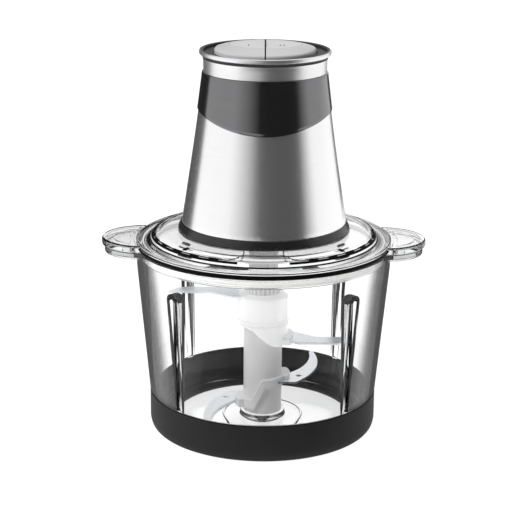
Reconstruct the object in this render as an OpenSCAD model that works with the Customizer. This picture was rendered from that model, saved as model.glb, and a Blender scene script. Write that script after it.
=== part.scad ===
// Electric food chopper: clear bowl with side ears, domed lid, lift-off motor unit and blade tower.
// Millimetres. The origin is on the table under the middle, Z is up, the ears lie along X, -Y is the front.

/* [Bowl] */
// Height of the rubber base ring
ring_h = 30; // [26:0.5:34]
// Outer radius of the rubber base ring
ring_r = 88; // [86:0.5:90]
// Wall of the rubber base ring
ring_wall = 2.2; // [2:0.1:2.6]
// Thickness of the ledge that the bowl stands on
ring_ledge = 3; // [2.5:0.1:4]
// Height of the bowl rim above the table
bowl_rim_z = 145; // [140:0.5:155]
// Outer radius of the bowl at its rim
bowl_rim_r = 97.5; // [96:0.5:100]
// Bowl wall at the rim
bowl_wall = 3.2; // [2.8:0.1:3.8]
// Bowl wall just above the base ring
bowl_foot_wall = 4.2; // [3.8:0.1:5]
// Thickness of the bowl floor
bowl_floor = 3.6; // [3:0.1:4.5]
// Radius of the bowl's boss under the blade tower
boss_r = 17.5; // [16.5:0.1:19]
// Radius of the vertical flutes pressed into the wall
flute_r = 7.5; // [6.5:0.1:8.5]
// Height of a flute's round top below the rim
flute_drop = 26; // [22:0.5:32]

/* [Ears] */
// Radius of the round lid tabs at each side
ear_r = 31.5; // [29:0.5:33]
// Distance of an ear's centre from the axis
ear_x = 92.5; // [90:0.5:95]
// Thickness of the bowl's ears
bowl_ear_t = 5.6; // [5:0.1:7]
// Thickness of the lid's tabs
lid_tab_t = 5.4; // [4.6:0.1:6.5]
// Depth of the finger panel in a lid tab
tab_panel_deep = 1.6; // [1:0.1:2.2]

/* [Lid] */
// Wall of the lid
lid_wall = 2.6; // [2.2:0.1:3]
// Height of the motor seat above the bowl rim
seat_rise = 12; // [11:0.1:14]
// Depth of the motor seat in the dome's flat top
seat_deep = 0.8; // [0.6:0.05:1.2]
// Radius of the dome where it leaves the flange
dome_foot_r = 86.8; // [85.5:0.1:88]
// Depth of the dome's two side panels
panel_deep = 0.7; // [0.4:0.05:0.75]
// Half width of the bridge between the panels
bridge_half = 14.4; // [12:0.1:18]
// Radius of the panels' corners at the bridge
panel_corner = 9; // [6:0.5:12]
// Length of the lid's plug inside the bowl
plug_h = 8; // [7:0.1:10]

/* [Motor unit] */
// Outer radius of the bottom cover
cover_r = 65.5; // [64:0.5:67]
// Height of the bottom cover's black ring
cover_h = 7.1; // [6:0.1:9]
// Thickness of the bottom cover's plate
cover_plate = 3; // [2.5:0.1:3.5]
// Height of the steel sleeve
sleeve_h = 114.3; // [112:0.1:118]
// Radius of the steel sleeve at its bottom
sleeve_low_r = 62.8; // [61:0.1:64]
// Radius of the steel sleeve at its top
sleeve_top_r = 46.2; // [45.5:0.1:47]
// Hollow of the sleeve's flare halfway up
sleeve_flare = 0.6; // [0:0.1:1.2]
// Sheet thickness of the steel sleeve
sleeve_wall = 0.8; // [0.6:0.05:1]
// Wall of the inner chassis
chassis_wall = 2; // [1.6:0.1:2.6]
// How far the black band stands out from the sleeve
band_proud = 1; // [0.6:0.1:1.6]
// Height of the band at front and rear
band_h = 39.3; // [34:0.5:44]
// Radius of the band's curved lower edge
band_arc_r = 110; // [95:1:150]
// Height of the steel top collar
collar_h = 16.4; // [15:0.1:18]
// Radius of the collar's lip
lip_r = 49.3; // [48.5:0.1:50.5]
// Sheet thickness of the collar
collar_wall = 1; // [0.8:0.1:1.4]

/* [Buttons] */
// Radius of the pair of buttons
button_r = 38; // [36:0.5:40]
// Radius of their flat top
button_top_r = 27; // [24:0.5:30]
// Height of the button top above the collar
button_up = 3.8; // [3:0.1:5]
// Gap between the two buttons
button_gap = 1; // [0.8:0.1:1.6]
// Travel of a button
button_travel = 2.6; // [2:0.1:3]
// Wall of a button
button_wall = 2; // [1.6:0.1:2.4]

/* [Blades] */
// Radius of the blade tower
tower_r = 15; // [14:0.5:16]
// Height of the tower's shoulder above its foot
shoulder_up = 71; // [66:0.5:74]
// Radius of the tower's neck
neck_r = 12.7; // [12.2:0.1:13.2]
// Height of the neck
neck_h = 35; // [33:0.5:38]
// Radius of the drive spline
spline_r = 11; // [10.4:0.1:11.4]
// Number of ribs on the drive spline
spline_ribs = 12; // [8:1:16]
// Blade thickness
blade_t = 1.6; // [1.2:0.1:2]
// Height of the lower left blade above the tower's foot
low_blade_up = 6.6; // [6:0.1:8]
// Step from a left blade to the right blade of its pair, lower pair
low_step = 19; // [17:0.5:21]
// Height of the upper right blade above the tower's foot
high_blade_up = 58.4; // [56:0.2:61]
// Step between the upper pair
high_step = 34.5; // [32:0.5:36]
// Reach of the upper blades
blade_reach = 74; // [68:0.5:75]
// Radius of the collar that holds the upper blades
holder_r = 19.5; // [18.8:0.1:20.5]
// Radius of the steel spindle
spindle_r = 4; // [3.5:0.1:4.5]

/* [Gearing] */
// Tooth module
gear_module = 1; // [0.9:0.05:1.05]
// Teeth of the sun pinion
sun_teeth = 12; // [12, 15]
// Teeth of each planet
planet_teeth = 21; // [15, 21]
// Pressure angle of the teeth
pressure_angle = 25; // [24:0.5:26]
// Width of the planet gears
planet_w = 8.4; // [7.5:0.1:9]
// Radius of the planet pins
pin_r = 2; // [1.6:0.1:2.3]
// Radius of the output shaft
output_r = 5; // [4.5:0.1:5.5]

/* [Motor] */
// Height of the stator stack
stack_h = 32; // [28:0.5:34]
// Length of the stator stack across the poles
stator_x = 74; // [72:0.5:76]
// Width of the stator stack
stator_y = 58; // [56:0.5:60]
// Radius of the armature
armature_r = 18.5; // [17.5:0.1:18.8]
// Air gap round the armature
air_gap = 0.7; // [0.5:0.05:0.9]
// Radius of the motor shaft
shaft_r = 4; // [3.8:0.1:4.2]
// Radius of the cooling fan
fan_r = 26; // [24:0.5:28]
// Number of fan vanes
fan_vanes = 14; // [10:1:18]
// Radius of the commutator
commutator_r = 10; // [9:0.1:11]

/* [Fits] */
// Gap between parts that lift or slide apart
seat_gap = 0.3; // [0.25:0.05:0.4]
// Radial clearance of a shaft in its bearing
run_gap = 0.05; // [0.02:0.01:0.08]
// Thickness of the glue line under the black band
glue_gap = 0.05; // [0.05:0.01:0.1]
// Backlash taken off each flank of a tooth
tooth_slack = 0.06; // [0.05:0.01:0.09]

/* [Hidden] */
$fn = 96;
eps = 0.01;

// Bowl levels and radii
bowl_low_z = ring_ledge;
bowl_floor_z = bowl_low_z + bowl_floor;
bowl_in_ring_r = ring_r - ring_wall;
ring_hole_r = ring_r - 18;
boss_top_z = bowl_floor_z + 3.6;
floor_corner = 8;
bowl_in_rim_r = bowl_rim_r - bowl_wall;
straight_z = bowl_rim_z - 15;
straight_r = bowl_rim_r - 0.3;
flute_x = bowl_in_rim_r - 5.2;
flute_top_z = bowl_rim_z - flute_drop;
flute_wall = 3;
bowl_ear_r = ear_r - 2;

// Lid levels and radii
lid_z = bowl_rim_z + seat_gap;
flange_top_z = lid_z + lid_tab_t;
seat_z = bowl_rim_z + seat_rise;
seat_r = cover_r + 0.5;
dome_top_z = seat_z + seat_deep;
plug_r = bowl_in_rim_r - 1.3;
seal_h = 4;
tube_r = 16.2;

// Motor unit levels
cover_z = seat_z + seat_gap;
cover_top_z = cover_z + cover_h;
plate_z = cover_z + cover_plate;
sleeve_z = cover_top_z;
sleeve_top_z = sleeve_z + sleeve_h;
collar_top_z = sleeve_top_z + collar_h + 0.2;
deck_z = collar_top_z - 4.8;
deck_t = 2.5;
shelf_t = 2.5;
shelf_z = sleeve_top_z - 12.7;
neck_in_r = 42.6;
cover_screw_r = 55;
sleeve_steps = 14;

// Tower levels
foot_z = boss_top_z + seat_gap;
shoulder_z = foot_z + shoulder_up;
neck_top_z = shoulder_z + neck_h;
bush_r = 6.4;
bush_top_z = foot_z + 57;
spindle_top_z = bush_top_z + 7;
low_left_z = foot_z + low_blade_up;
low_right_z = low_left_z + low_step;
high_right_z = foot_z + high_blade_up;
high_left_z = high_right_z + high_step;
tang_r = 9.4;
knife_w = 17;
bevel = 24;

// Drive coupling, just under the bottom cover
coupling_top_z = cover_z - 0.6;
coupling_z = coupling_top_z - 17;
coupling_r = 14.6;
socket_deep = 11.5;
spline_top_z = coupling_z + socket_deep - 0.6;
spline_rib = 1.1;

// Gearing: the ring's teeth follow from the sun and the planets
ring_teeth = sun_teeth + 2 * planet_teeth;
planet_x = gear_module * (sun_teeth + planet_teeth) / 2;
addendum = 0.9 * gear_module;
dedendum = 1.25 * gear_module;
flank_steps = 3;
planets = 3;
ring_out_r = pitch_radius(ring_teeth) + dedendum + 2.75;
case_r = ring_out_r + 5;
case_floor = 3;
bush_hub_up = 2.3;
carrier_z = plate_z + case_floor + bush_hub_up + seat_gap;
carrier_t = 3.5;
planet_z = carrier_z + carrier_t + 0.4;
cage_z = planet_z + planet_w + 0.4;
cage_t = 2;
case_top_z = cage_z + cage_t + 0.4;
ring_seat_z = planet_z - 1.6;
ring_w = planet_w + 3.6;
sun_hub_r = pitch_radius(sun_teeth) - dedendum - 0.2;
sun_hub_h = 4;
carrier_r = planet_x + 6.5;
plate_t = 3;
gear_cover_r = case_r + 7;
gear_screw_r = case_r - 2.5;

// Motor levels
bearing_z = case_top_z + plate_t;
bearing_w = 7;
bearing_r = 9.5;
fan_z = bearing_z + bearing_w + 1.2;
fan_h = 6.5;
stack_z = fan_z + fan_h + 7.3;
stack_top_z = stack_z + stack_h;
coil_over = 5;
winding_h = 4.8;
bolt_x = stator_x / 2 - 5;
bolt_y = stator_y / 2 - 6;
bolt_r = 2;
damper_t = 2;
commutator_z = stack_top_z + winding_h + 2.4;
commutator_h = 10;
brush_z = commutator_z + commutator_h / 2;
bridge_z = commutator_z + commutator_h + 2;
bridge_t = 3;
bridge_leg_y = stator_y / 2 - 4;
upper_bearing_r = 8;
upper_bearing_w = 5;
shaft_top_z = bridge_z + upper_bearing_w - 0.5;
brush_plate_z = stack_top_z + coil_over + 0.6;
brush_plate_t = 2.4;
brush_w = 5;
brush_hh = 6;
brush_x = commutator_r + 0.3;
brush_len = 10;
holder_wall = 1.2;
holder_x = commutator_r + 3;
holder_len = 16;

// Buttons and what is under them
board_z = shelf_z + shelf_t + 1.4;
board_t = 1.6;
button_top_z = collar_top_z + button_up;
button_skirt_z = deck_z - 4;
post_x = 18;
spring_z = board_z + board_t;
spring_top_z = button_skirt_z + 4;
spring_r = 5;
spring_wire = 0.6;
spring_turns = 6;
switch_y = 15;
switch_top_z = button_skirt_z - button_travel - 1.2;

// Cord gland in the rear of the sleeve
gland_z = sleeve_z + 12;
gland_r = 7;
gland_hole_r = 3.5;

// Radius of the sleeve's outside at height z
function sleeve_out(z) =
    let (up = (z - sleeve_z) / sleeve_h)
    sleeve_low_r + (sleeve_top_r - sleeve_low_r) * up - 4 * sleeve_flare * up * (1 - up);
// Outline of a layer that follows the sleeve between two heights, from one offset to another
function sleeve_layer(low, high, inner, outer) = concat(
    [for (i = [0 : sleeve_steps]) let (z = low + (high - low) * i / sleeve_steps)
        [sleeve_out(z) + outer, z]],
    [for (i = [sleeve_steps : -1 : 0]) let (z = low + (high - low) * i / sleeve_steps)
        [sleeve_out(z) + inner, z]]
);
// Turn of an involute, in degrees, where it crosses radius r
function unwind(base_r, r) =
    let (grow = sqrt(max(0, pow(r / base_r, 2) - 1)))
    grow * 180 / PI - atan(grow);
// Half the angle of a tooth at radius r, with slack taken off its flank
function half_tooth(teeth, r, slack) =
    let (pitch_r = teeth * gear_module / 2, base_r = pitch_r * cos(pressure_angle))
    90 / teeth + unwind(base_r, pitch_r) - unwind(base_r, max(r, base_r)) - slack / pitch_r * 180 / PI;
// Outline of a gear: each tooth climbs one flank and comes down the other
function gear_outline(teeth, root_r, tip_r, slack) = [
    for (i = [0 : teeth - 1], k = [0 : 2 * flank_steps + 1])
        let (
            rising = k <= flank_steps,
            step = rising ? k : 2 * flank_steps + 1 - k,
            r = root_r + (tip_r - root_r) * step / flank_steps,
            turn = 360 * i / teeth + (rising ? -1 : 1) * half_tooth(teeth, r, slack)
        )
        [r * cos(turn), r * sin(turn)]
];
function pitch_radius(teeth) = teeth * gear_module / 2;

module tube(outer, inner, h) {
    difference() {
        cylinder(r = outer, h = h);
        translate([0, 0, -eps]) cylinder(r = inner, h = h + 2 * eps);
    }
}
module both_sides() {
    children();
    mirror([1, 0, 0]) children();
}
module four_corners(x, y) {
    for (sx = [-1, 1], sy = [-1, 1]) translate([sx * x, sy * y, 0]) children();
}
module spur(teeth, h, slack) {
    linear_extrude(h)
        polygon(gear_outline(teeth, pitch_radius(teeth) - dedendum, pitch_radius(teeth) + addendum, slack));
}
// A wire wound round the Z axis, its first ring of points at the bottom
module coil_spring(mean_r, wire_r, turns, h) {
    sides = 6;
    per_turn = 14;
    steps = turns * per_turn;
    rise = h - 2 * wire_r;
    points = [
        for (i = [0 : steps], j = [0 : sides - 1])
            let (
                turn = 360 * i / per_turn,
                around = 360 * j / sides,
                r = mean_r + wire_r * cos(around)
            )
            [r * cos(turn), r * sin(turn), wire_r + rise * i / steps + wire_r * sin(around)]
    ];
    skin = [
        for (i = [0 : steps - 1], j = [0 : sides - 1])
            let (next = (j + 1) % sides)
            [i * sides + j, i * sides + next, (i + 1) * sides + next, (i + 1) * sides + j]
    ];
    low_end = [for (j = [sides - 1 : -1 : 0]) j];
    high_end = [for (j = [0 : sides - 1]) steps * sides + j];
    polyhedron(points, concat([low_end], skin, [high_end]));
}
module screw(shank_r, shank_h, head_r, head_h) {
    cylinder(r = shank_r, h = shank_h);
    translate([0, 0, shank_h]) difference() {
        cylinder(r = head_r, h = head_h);
        translate([-head_r, -0.4, head_h - 0.8]) cube([2 * head_r, 0.8, 1]);
    }
}

// Bowl
module ear_slab(r, low, t, edge) {
    translate([ear_x, 0, low]) rotate_extrude() polygon([
        [0, 0], [r - edge, 0], [r - 0.3 * edge, 0.3 * edge], [r, edge],
        [r, t - edge], [r - 0.3 * edge, t - 0.3 * edge], [r - edge, t], [0, t]
    ]);
}
module bowl_outside() {
    rotate_extrude() difference() {
        polygon([
            [0, bowl_low_z], [bowl_in_ring_r, bowl_low_z], [bowl_in_ring_r, ring_h - 0.4],
            [ring_r, ring_h + 0.2], [straight_r, straight_z], [bowl_rim_r, bowl_rim_z - 1],
            [bowl_rim_r - 0.6, bowl_rim_z], [0, bowl_rim_z]
        ]);
        translate([bowl_in_ring_r - 5, bowl_low_z + 5]) difference() {
            translate([0, -6]) square([6, 6]);
            circle(r = 5);
        }
    }
}
module bowl_inside() {
    corner_r = bowl_in_ring_r - 3.4;
    rotate_extrude() union() {
        polygon([
            [0, bowl_floor_z], [corner_r - floor_corner, bowl_floor_z],
            [corner_r, bowl_floor_z + floor_corner], [ring_r - bowl_foot_wall, ring_h],
            [straight_r - bowl_wall, straight_z], [bowl_in_rim_r, bowl_rim_z - 1],
            [bowl_in_rim_r + 0.6, bowl_rim_z + eps], [0, bowl_rim_z + eps]
        ]);
        intersection() {
            translate([corner_r - floor_corner, bowl_floor_z + floor_corner]) circle(r = floor_corner);
            translate([corner_r - floor_corner, bowl_floor_z]) square(floor_corner);
        }
    }
}
module flutes(r, top, out) {
    for (turn = [45 : 90 : 315]) rotate(turn) {
        translate([flute_x, 0, bowl_low_z + bowl_floor / 2]) {
            cylinder(r = r, h = top - bowl_low_z - bowl_floor / 2);
            translate([0, -r, 0]) cube([out, 2 * r, top - bowl_low_z - bowl_floor / 2]);
        }
        translate([flute_x, 0, top]) sphere(r = r);
        translate([flute_x, 0, top]) rotate([0, 90, 0]) cylinder(r = r, h = out);
    }
}
module bowl() {
    color([0.82, 0.88, 0.9, 0.35]) difference() {
        union() {
            difference() {
                union() {
                    bowl_outside();
                    both_sides() ear_slab(bowl_ear_r, bowl_rim_z - bowl_ear_t, bowl_ear_t, 1.2);
                }
                bowl_inside();
            }
            intersection() {
                bowl_outside();
                flutes(flute_r, flute_top_z, 12);
            }
            translate([0, 0, bowl_low_z + bowl_floor / 2])
                cylinder(r = boss_r, h = boss_top_z - bowl_low_z - bowl_floor / 2);
        }
        difference() {
            flutes(flute_r - flute_wall, flute_top_z, 14);
            cylinder(r = bowl_in_ring_r - 3, h = ring_h);
        }
        translate([0, 0, bowl_low_z + 1]) cylinder(r = spindle_r, h = boss_top_z);
        both_sides() translate([0, 0, bowl_rim_z - bowl_ear_t - eps])
            intersection() {
                translate([ear_x, 0, 0]) cylinder(r = bowl_ear_r - 3.5, h = 2.4);
                translate([bowl_rim_r + 3, -ear_r, 0]) cube([ear_r, 2 * ear_r, 2.4]);
            }
    }
}
module base_ring() {
    inner = ring_r - ring_wall;
    color([0.16, 0.16, 0.17]) rotate_extrude() difference() {
        union() {
            polygon([
                [ring_hole_r, 0.6], [ring_hole_r + 0.6, 0], [ring_r - 5, 0],
                [ring_r - 1, 4], [ring_r - 0.1, 8],
                [ring_r, ring_h - 0.5], [ring_r - 0.5, ring_h - 0.1], [inner, ring_h - 0.4],
                [inner, bowl_low_z], [ring_hole_r, bowl_low_z]
            ]);
            intersection() {
                translate([inner - 5, bowl_low_z + 5]) difference() {
                    translate([0, -6]) square([6, 6]);
                    circle(r = 5);
                }
                translate([0, bowl_low_z]) square([inner, 6]);
            }
            translate([ring_r - 9, 8]) intersection() {
                difference() {
                    circle(r = 8.9);
                    circle(r = 7);
                }
                translate([0, -8]) square([10, 7]);
            }
        }
        translate([inner - 5, bowl_low_z + 5]) circle(r = 5 - eps);
        for (x = [ring_hole_r + 4, ring_hole_r + 8]) translate([x, -0.6]) square([1.6, 1.2]);
    }
}
module bowl_spindle() {
    color("silver") translate([0, 0, bowl_low_z + 1]) {
        cylinder(r = spindle_r, h = spindle_top_z - bowl_low_z - 1 - spindle_r);
        translate([0, 0, spindle_top_z - bowl_low_z - 1 - spindle_r]) sphere(r = spindle_r);
    }
}

// Lid
module lid_outside() {
    rotate_extrude() union() {
        polygon([
            [0, lid_z], [bowl_rim_r - 1, lid_z], [bowl_rim_r, lid_z + 1], [bowl_rim_r, flange_top_z - 2.4],
            [bowl_rim_r - 0.7, flange_top_z - 0.7], [bowl_rim_r - 2.4, flange_top_z],
            [dome_foot_r + 0.8, flange_top_z], [dome_foot_r, flange_top_z + 0.5],
            [dome_foot_r - 0.4, flange_top_z + 2], [dome_foot_r - 2.2, flange_top_z + 4.6],
            [dome_foot_r - 4.8, dome_top_z - 0.8], [dome_foot_r - 9, dome_top_z], [0, dome_top_z]
        ]);
        translate([plug_r - 10, lid_z - plug_h]) square([10, plug_h + 1]);
        translate([0, coupling_z]) square([tube_r + lid_wall, seat_z - coupling_z]);
    }
}
module lid_inside() {
    under_z = seat_z - lid_wall;
    dome_in_r = dome_foot_r - lid_wall;
    rotate_extrude() difference() {
        polygon([
            [0, lid_z - plug_h - 1], [plug_r - lid_wall, lid_z - plug_h - 1],
            [plug_r - lid_wall, lid_z + 1], [dome_in_r, flange_top_z - 1.4],
            [dome_in_r - 2, flange_top_z + 2.1], [dome_in_r - 5.5, under_z], [0, under_z]
        ]);
        translate([tube_r, coupling_z]) square([lid_wall, seat_z - coupling_z]);
    }
}
module dome_panels() {
    low_r = dome_foot_r - 2.8;
    high_r = seat_r - 1;
    mid_x = bridge_half + panel_corner;
    mid_y = sqrt(pow(low_r - panel_corner, 2) - pow(mid_x, 2));
    intersection() {
        rotate_extrude() polygon([
            [dome_foot_r - 2.2, flange_top_z + 4.6 - panel_deep],
            [dome_foot_r - 4.8, dome_top_z - 0.8 - panel_deep], [dome_foot_r - 9, dome_top_z - panel_deep],
            [high_r - 1, dome_top_z - panel_deep], [high_r - 1, dome_top_z + 1],
            [dome_foot_r - 2.2, dome_top_z + 1]
        ]);
        translate([0, 0, flange_top_z]) linear_extrude(dome_top_z - flange_top_z + 2) difference() {
            circle(r = low_r);
            circle(r = high_r);
            square([2 * bridge_half, 3 * low_r], center = true);
            for (sx = [-1, 1], sy = [-1, 1]) scale([sx, sy]) translate([mid_x, mid_y]) difference() {
                polygon([
                    [-panel_corner - 1, 0], [0, 0],
                    [mid_x, mid_y] * (panel_corner + 3) / (low_r - panel_corner),
                    [-panel_corner - 1, panel_corner + 5]
                ]);
                circle(r = panel_corner);
            }
        }
    }
}
module lid() {
    color([0.85, 0.9, 0.92, 0.35]) difference() {
        union() {
            difference() {
                union() {
                    lid_outside();
                    both_sides() ear_slab(ear_r, lid_z, lid_tab_t, 1.4);
                }
                lid_inside();
            }
        }
        translate([0, 0, seat_z]) cylinder(r = seat_r, h = seat_deep + 1);
        translate([0, 0, coupling_z - 1]) cylinder(r = tube_r, h = seat_z);
        dome_panels();
        translate([0, 0, lid_z - plug_h + 1.4]) tube(plug_r + 1, plug_r - 1.2, seal_h);
        both_sides() translate([0, 0, flange_top_z - tab_panel_deep]) difference() {
            intersection() {
                translate([ear_x, 0, 0]) cylinder(r = ear_r - 4, h = tab_panel_deep + 1);
                translate([bowl_rim_r + 1.5, -ear_r, 0]) cube([ear_r, 2 * ear_r, 5]);
            }
            intersection() {
                translate([ear_x, 0, -eps]) cylinder(r = ear_r - 9, h = tab_panel_deep - 0.5);
                translate([bowl_rim_r + 4.5, -ear_r, -1]) cube([ear_r, 2 * ear_r, 5]);
            }
        }
    }
}
module lid_seal() {
    color([0.9, 0.9, 0.88]) translate([0, 0, lid_z - plug_h + 1.4]) rotate_extrude() polygon([
        [plug_r - 1.2, 0], [plug_r, 0], [plug_r + 1, 0.8], [plug_r, 1.6], [plug_r + 1, 2.4],
        [plug_r, 3.2], [plug_r, seal_h], [plug_r - 1.2, seal_h]
    ]);
}

// Motor unit shells
module base_cover() {
    color([0.08, 0.08, 0.09]) difference() {
        translate([0, 0, cover_z]) rotate_extrude() polygon([
            [0, 0], [cover_r - 1, 0], [cover_r, 1], [cover_r, 2.4], [sleeve_low_r + 0.4, cover_h],
            [sleeve_low_r - sleeve_wall - chassis_wall, cover_h],
            [sleeve_low_r - sleeve_wall - chassis_wall, cover_plate], [0, cover_plate]
        ]);
        translate([0, 0, cover_z - 1]) cylinder(r = output_r + 4, h = cover_plate + 2);
        for (turn = [45 : 90 : 315]) rotate(turn) translate([cover_screw_r, 0, cover_z - eps]) {
            cylinder(r = 1.8, h = cover_plate + 1);
            cylinder(r = 3.6, h = 1.8);
        }
    }
}
module housing_sleeve() {
    color([0.78, 0.79, 0.8]) difference() {
        rotate_extrude() polygon(sleeve_layer(sleeve_z, sleeve_top_z, -sleeve_wall, 0));
        translate([0, 0, gland_z]) rotate([-90, 0, 0]) cylinder(r = gland_r - 1.5, h = 2 * sleeve_low_r);
    }
}
module shoulder_band() {
    low_z = sleeve_top_z - band_h;
    color([0.05, 0.05, 0.05]) intersection() {
        rotate_extrude() polygon(sleeve_layer(low_z, sleeve_top_z, glue_gap, band_proud));
        translate([0, 2 * cover_r, low_z + band_arc_r]) rotate([90, 0, 0])
            cylinder(r = band_arc_r, h = 4 * cover_r, $fn = 180);
    }
}
module top_collar() {
    foot_r = sleeve_top_r - 0.4;
    z = sleeve_top_z + 0.2;
    color([0.82, 0.82, 0.83]) rotate_extrude() difference() {
        union() {
            polygon([
                [foot_r - collar_wall, z], [foot_r, z], [foot_r, z + 4.5], [foot_r + 0.5, z + 6.6],
                [lip_r - 0.9, z + 12.4], [lip_r - 0.2, collar_top_z - 3], [lip_r - 1.7, collar_top_z - 3],
                [foot_r - collar_wall, z + 6]
            ]);
            translate([lip_r - 1.6, collar_top_z - 1.6]) circle(r = 1.6);
            translate([lip_r - 3.2, deck_z]) square([3, collar_top_z - deck_z - 1.6]);
        }
        translate([0, deck_z]) square([lip_r - 3.2 + eps, 20]);
    }
}
module deck_plate() {
    hole_r = button_r + 0.4;
    color([0.22, 0.22, 0.23]) translate([0, 0, deck_z]) rotate_extrude() polygon([
        [hole_r, -4], [hole_r + 1.6, -4], [hole_r + 1.6, 0], [lip_r - 3.2, 0], [lip_r - 3.2, deck_t],
        [hole_r + 0.5, deck_t], [hole_r, deck_t - 0.5]
    ]);
}
module chassis() {
    color([0.14, 0.14, 0.15]) difference() {
        union() {
            rotate_extrude() polygon(
                sleeve_layer(cover_top_z, sleeve_top_z, -sleeve_wall - chassis_wall, -sleeve_wall)
            );
            translate([0, 0, shelf_z]) cylinder(r = sleeve_out(shelf_z) - sleeve_wall - 1, h = shelf_t);
            translate([0, 0, shelf_z]) tube(sleeve_top_r - 0.4 - collar_wall, neck_in_r, deck_z - shelf_z);
            for (turn = [45 : 90 : 315]) rotate(turn) translate([cover_screw_r, 0, plate_z]) {
                cylinder(r = 4.4, h = 15);
                translate([0, -1.2, cover_h - cover_plate]) cube([4.2, 2.4, 14]);
            }
            four_corners(24, 12) translate([0, 0, shelf_z + shelf_t])
                cylinder(r = 3, h = board_z - shelf_z - shelf_t);
        }
        for (turn = [45 : 90 : 315]) rotate(turn) translate([cover_screw_r, 0, plate_z - 1])
            cylinder(r = 1.5, h = 12);
        translate([0, 0, shelf_z - 1]) cylinder(r = 9, h = shelf_t + 2);
        for (y = [-28, 28]) translate([0, y, shelf_z - 1]) cylinder(r = 5, h = shelf_t + 2);
        translate([0, 0, gland_z]) rotate([-90, 0, 0]) cylinder(r = gland_r - 1.5, h = 2 * sleeve_low_r);
    }
}

// Reduction gearing
module gear_case() {
    hub_r = output_r + 6.5;
    color([0.75, 0.76, 0.78]) translate([0, 0, plate_z]) difference() {
        cylinder(r = case_r, h = case_top_z - plate_z);
        translate([0, 0, ring_seat_z - plate_z]) cylinder(r = ring_out_r, h = 40);
        translate([0, 0, case_floor]) tube(ring_out_r - 2, hub_r, 40);
        translate([0, 0, case_floor + bush_hub_up]) cylinder(r = hub_r + 1, h = 40);
        translate([0, 0, -1]) cylinder(r = output_r + 3, h = 20);
        for (turn = [0 : 90 : 270]) rotate(turn) translate([gear_screw_r, 0, case_top_z - plate_z - 10])
            cylinder(r = 1.5, h = 11);
    }
}
module ring_gear() {
    color([0.55, 0.56, 0.58]) translate([0, 0, ring_seat_z]) difference() {
        cylinder(r = ring_out_r, h = ring_w);
        translate([0, 0, -eps]) linear_extrude(ring_w + 2 * eps) rotate(180 / ring_teeth) polygon(
            gear_outline(ring_teeth, pitch_radius(ring_teeth) - addendum,
                pitch_radius(ring_teeth) + dedendum, -tooth_slack)
        );
    }
}
module gear_cover() {
    post_h = stack_z - damper_t - case_top_z;
    color([0.72, 0.73, 0.75]) translate([0, 0, case_top_z]) difference() {
        union() {
            cylinder(r = gear_cover_r, h = plate_t);
            cylinder(r = bearing_r + 3.5, h = plate_t + bearing_w);
            four_corners(bolt_x, bolt_y) cylinder(r = 4.4, h = post_h);
        }
        translate([0, 0, plate_t]) cylinder(r = bearing_r, h = bearing_w + 1);
        translate([0, 0, -1]) cylinder(r = bearing_r - 2, h = plate_t + 2);
        four_corners(bolt_x, bolt_y) translate([0, 0, post_h - 14]) cylinder(r = bolt_r, h = 15);
        for (turn = [0 : 90 : 270]) rotate(turn) translate([gear_screw_r, 0, -1])
            cylinder(r = 1.5, h = plate_t + 2);
    }
}
module output_bush() {
    color([0.72, 0.52, 0.3]) translate([0, 0, plate_z])
        tube(output_r + 3, output_r + run_gap, case_floor + bush_hub_up);
}
module output_seal() {
    color([0.15, 0.15, 0.15]) translate([0, 0, cover_z + 0.2]) rotate_extrude() polygon([
        [output_r + seat_gap, 0], [output_r + 1.4, 0.8], [output_r + 4, 0],
        [output_r + 4, cover_plate - 0.2], [output_r + 1.6, cover_plate - 0.2], [output_r + 0.8, 1.4]
    ]);
}
module planet_carrier() {
    color([0.5, 0.51, 0.53]) translate([0, 0, carrier_z]) difference() {
        union() {
            cylinder(r = carrier_r, h = carrier_t);
            for (i = [0 : planets - 1]) rotate(360 * i / planets + 180 / planets)
                translate([planet_x, 0, 0]) cylinder(r = 2.6, h = cage_z - carrier_z);
        }
        translate([0, 0, -1]) cylinder(r = output_r, h = carrier_t + 2);
        for (i = [0 : planets - 1]) rotate(360 * i / planets) translate([planet_x, 0, -1])
            cylinder(r = pin_r, h = carrier_t + 2);
    }
}
module planet_pins() {
    color("silver") for (i = [0 : planets - 1]) rotate(360 * i / planets)
        translate([planet_x, 0, carrier_z + 0.4])
            cylinder(r = pin_r, h = cage_z + cage_t - 0.2 - carrier_z - 0.4);
}
module carrier_ring() {
    color([0.5, 0.51, 0.53]) translate([0, 0, cage_z]) difference() {
        cylinder(r = carrier_r, h = cage_t);
        translate([0, 0, -1]) cylinder(r = planet_x - 5.5, h = cage_t + 2);
        for (i = [0 : planets - 1]) rotate(360 * i / planets) translate([planet_x, 0, -1])
            cylinder(r = pin_r, h = cage_t + 2);
    }
}
module output_shaft() {
    z = coupling_z + socket_deep;
    color("silver") translate([0, 0, z]) cylinder(r = output_r, h = carrier_z + carrier_t - z);
}
module spline_outline(extra) {
    circle(r = spline_r - spline_rib + extra);
    for (i = [0 : spline_ribs - 1]) rotate(360 * i / spline_ribs)
        translate([0, -1.2 - extra]) square([spline_r + extra, 2.4 + 2 * extra]);
}
module drive_coupling() {
    h = coupling_top_z - coupling_z;
    color([0.88, 0.88, 0.86]) translate([0, 0, coupling_z]) difference() {
        union() {
            cylinder(r = coupling_r, h = h - 1);
            cylinder(r = coupling_r - 1, h = h);
        }
        translate([0, 0, -eps]) linear_extrude(socket_deep + eps) spline_outline(seat_gap);
        translate([0, 0, -eps]) cylinder(r1 = spline_r + 1.6, r2 = spline_r - 0.4, h = 2);
        cylinder(r = output_r, h = h + 1);
    }
}
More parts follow.
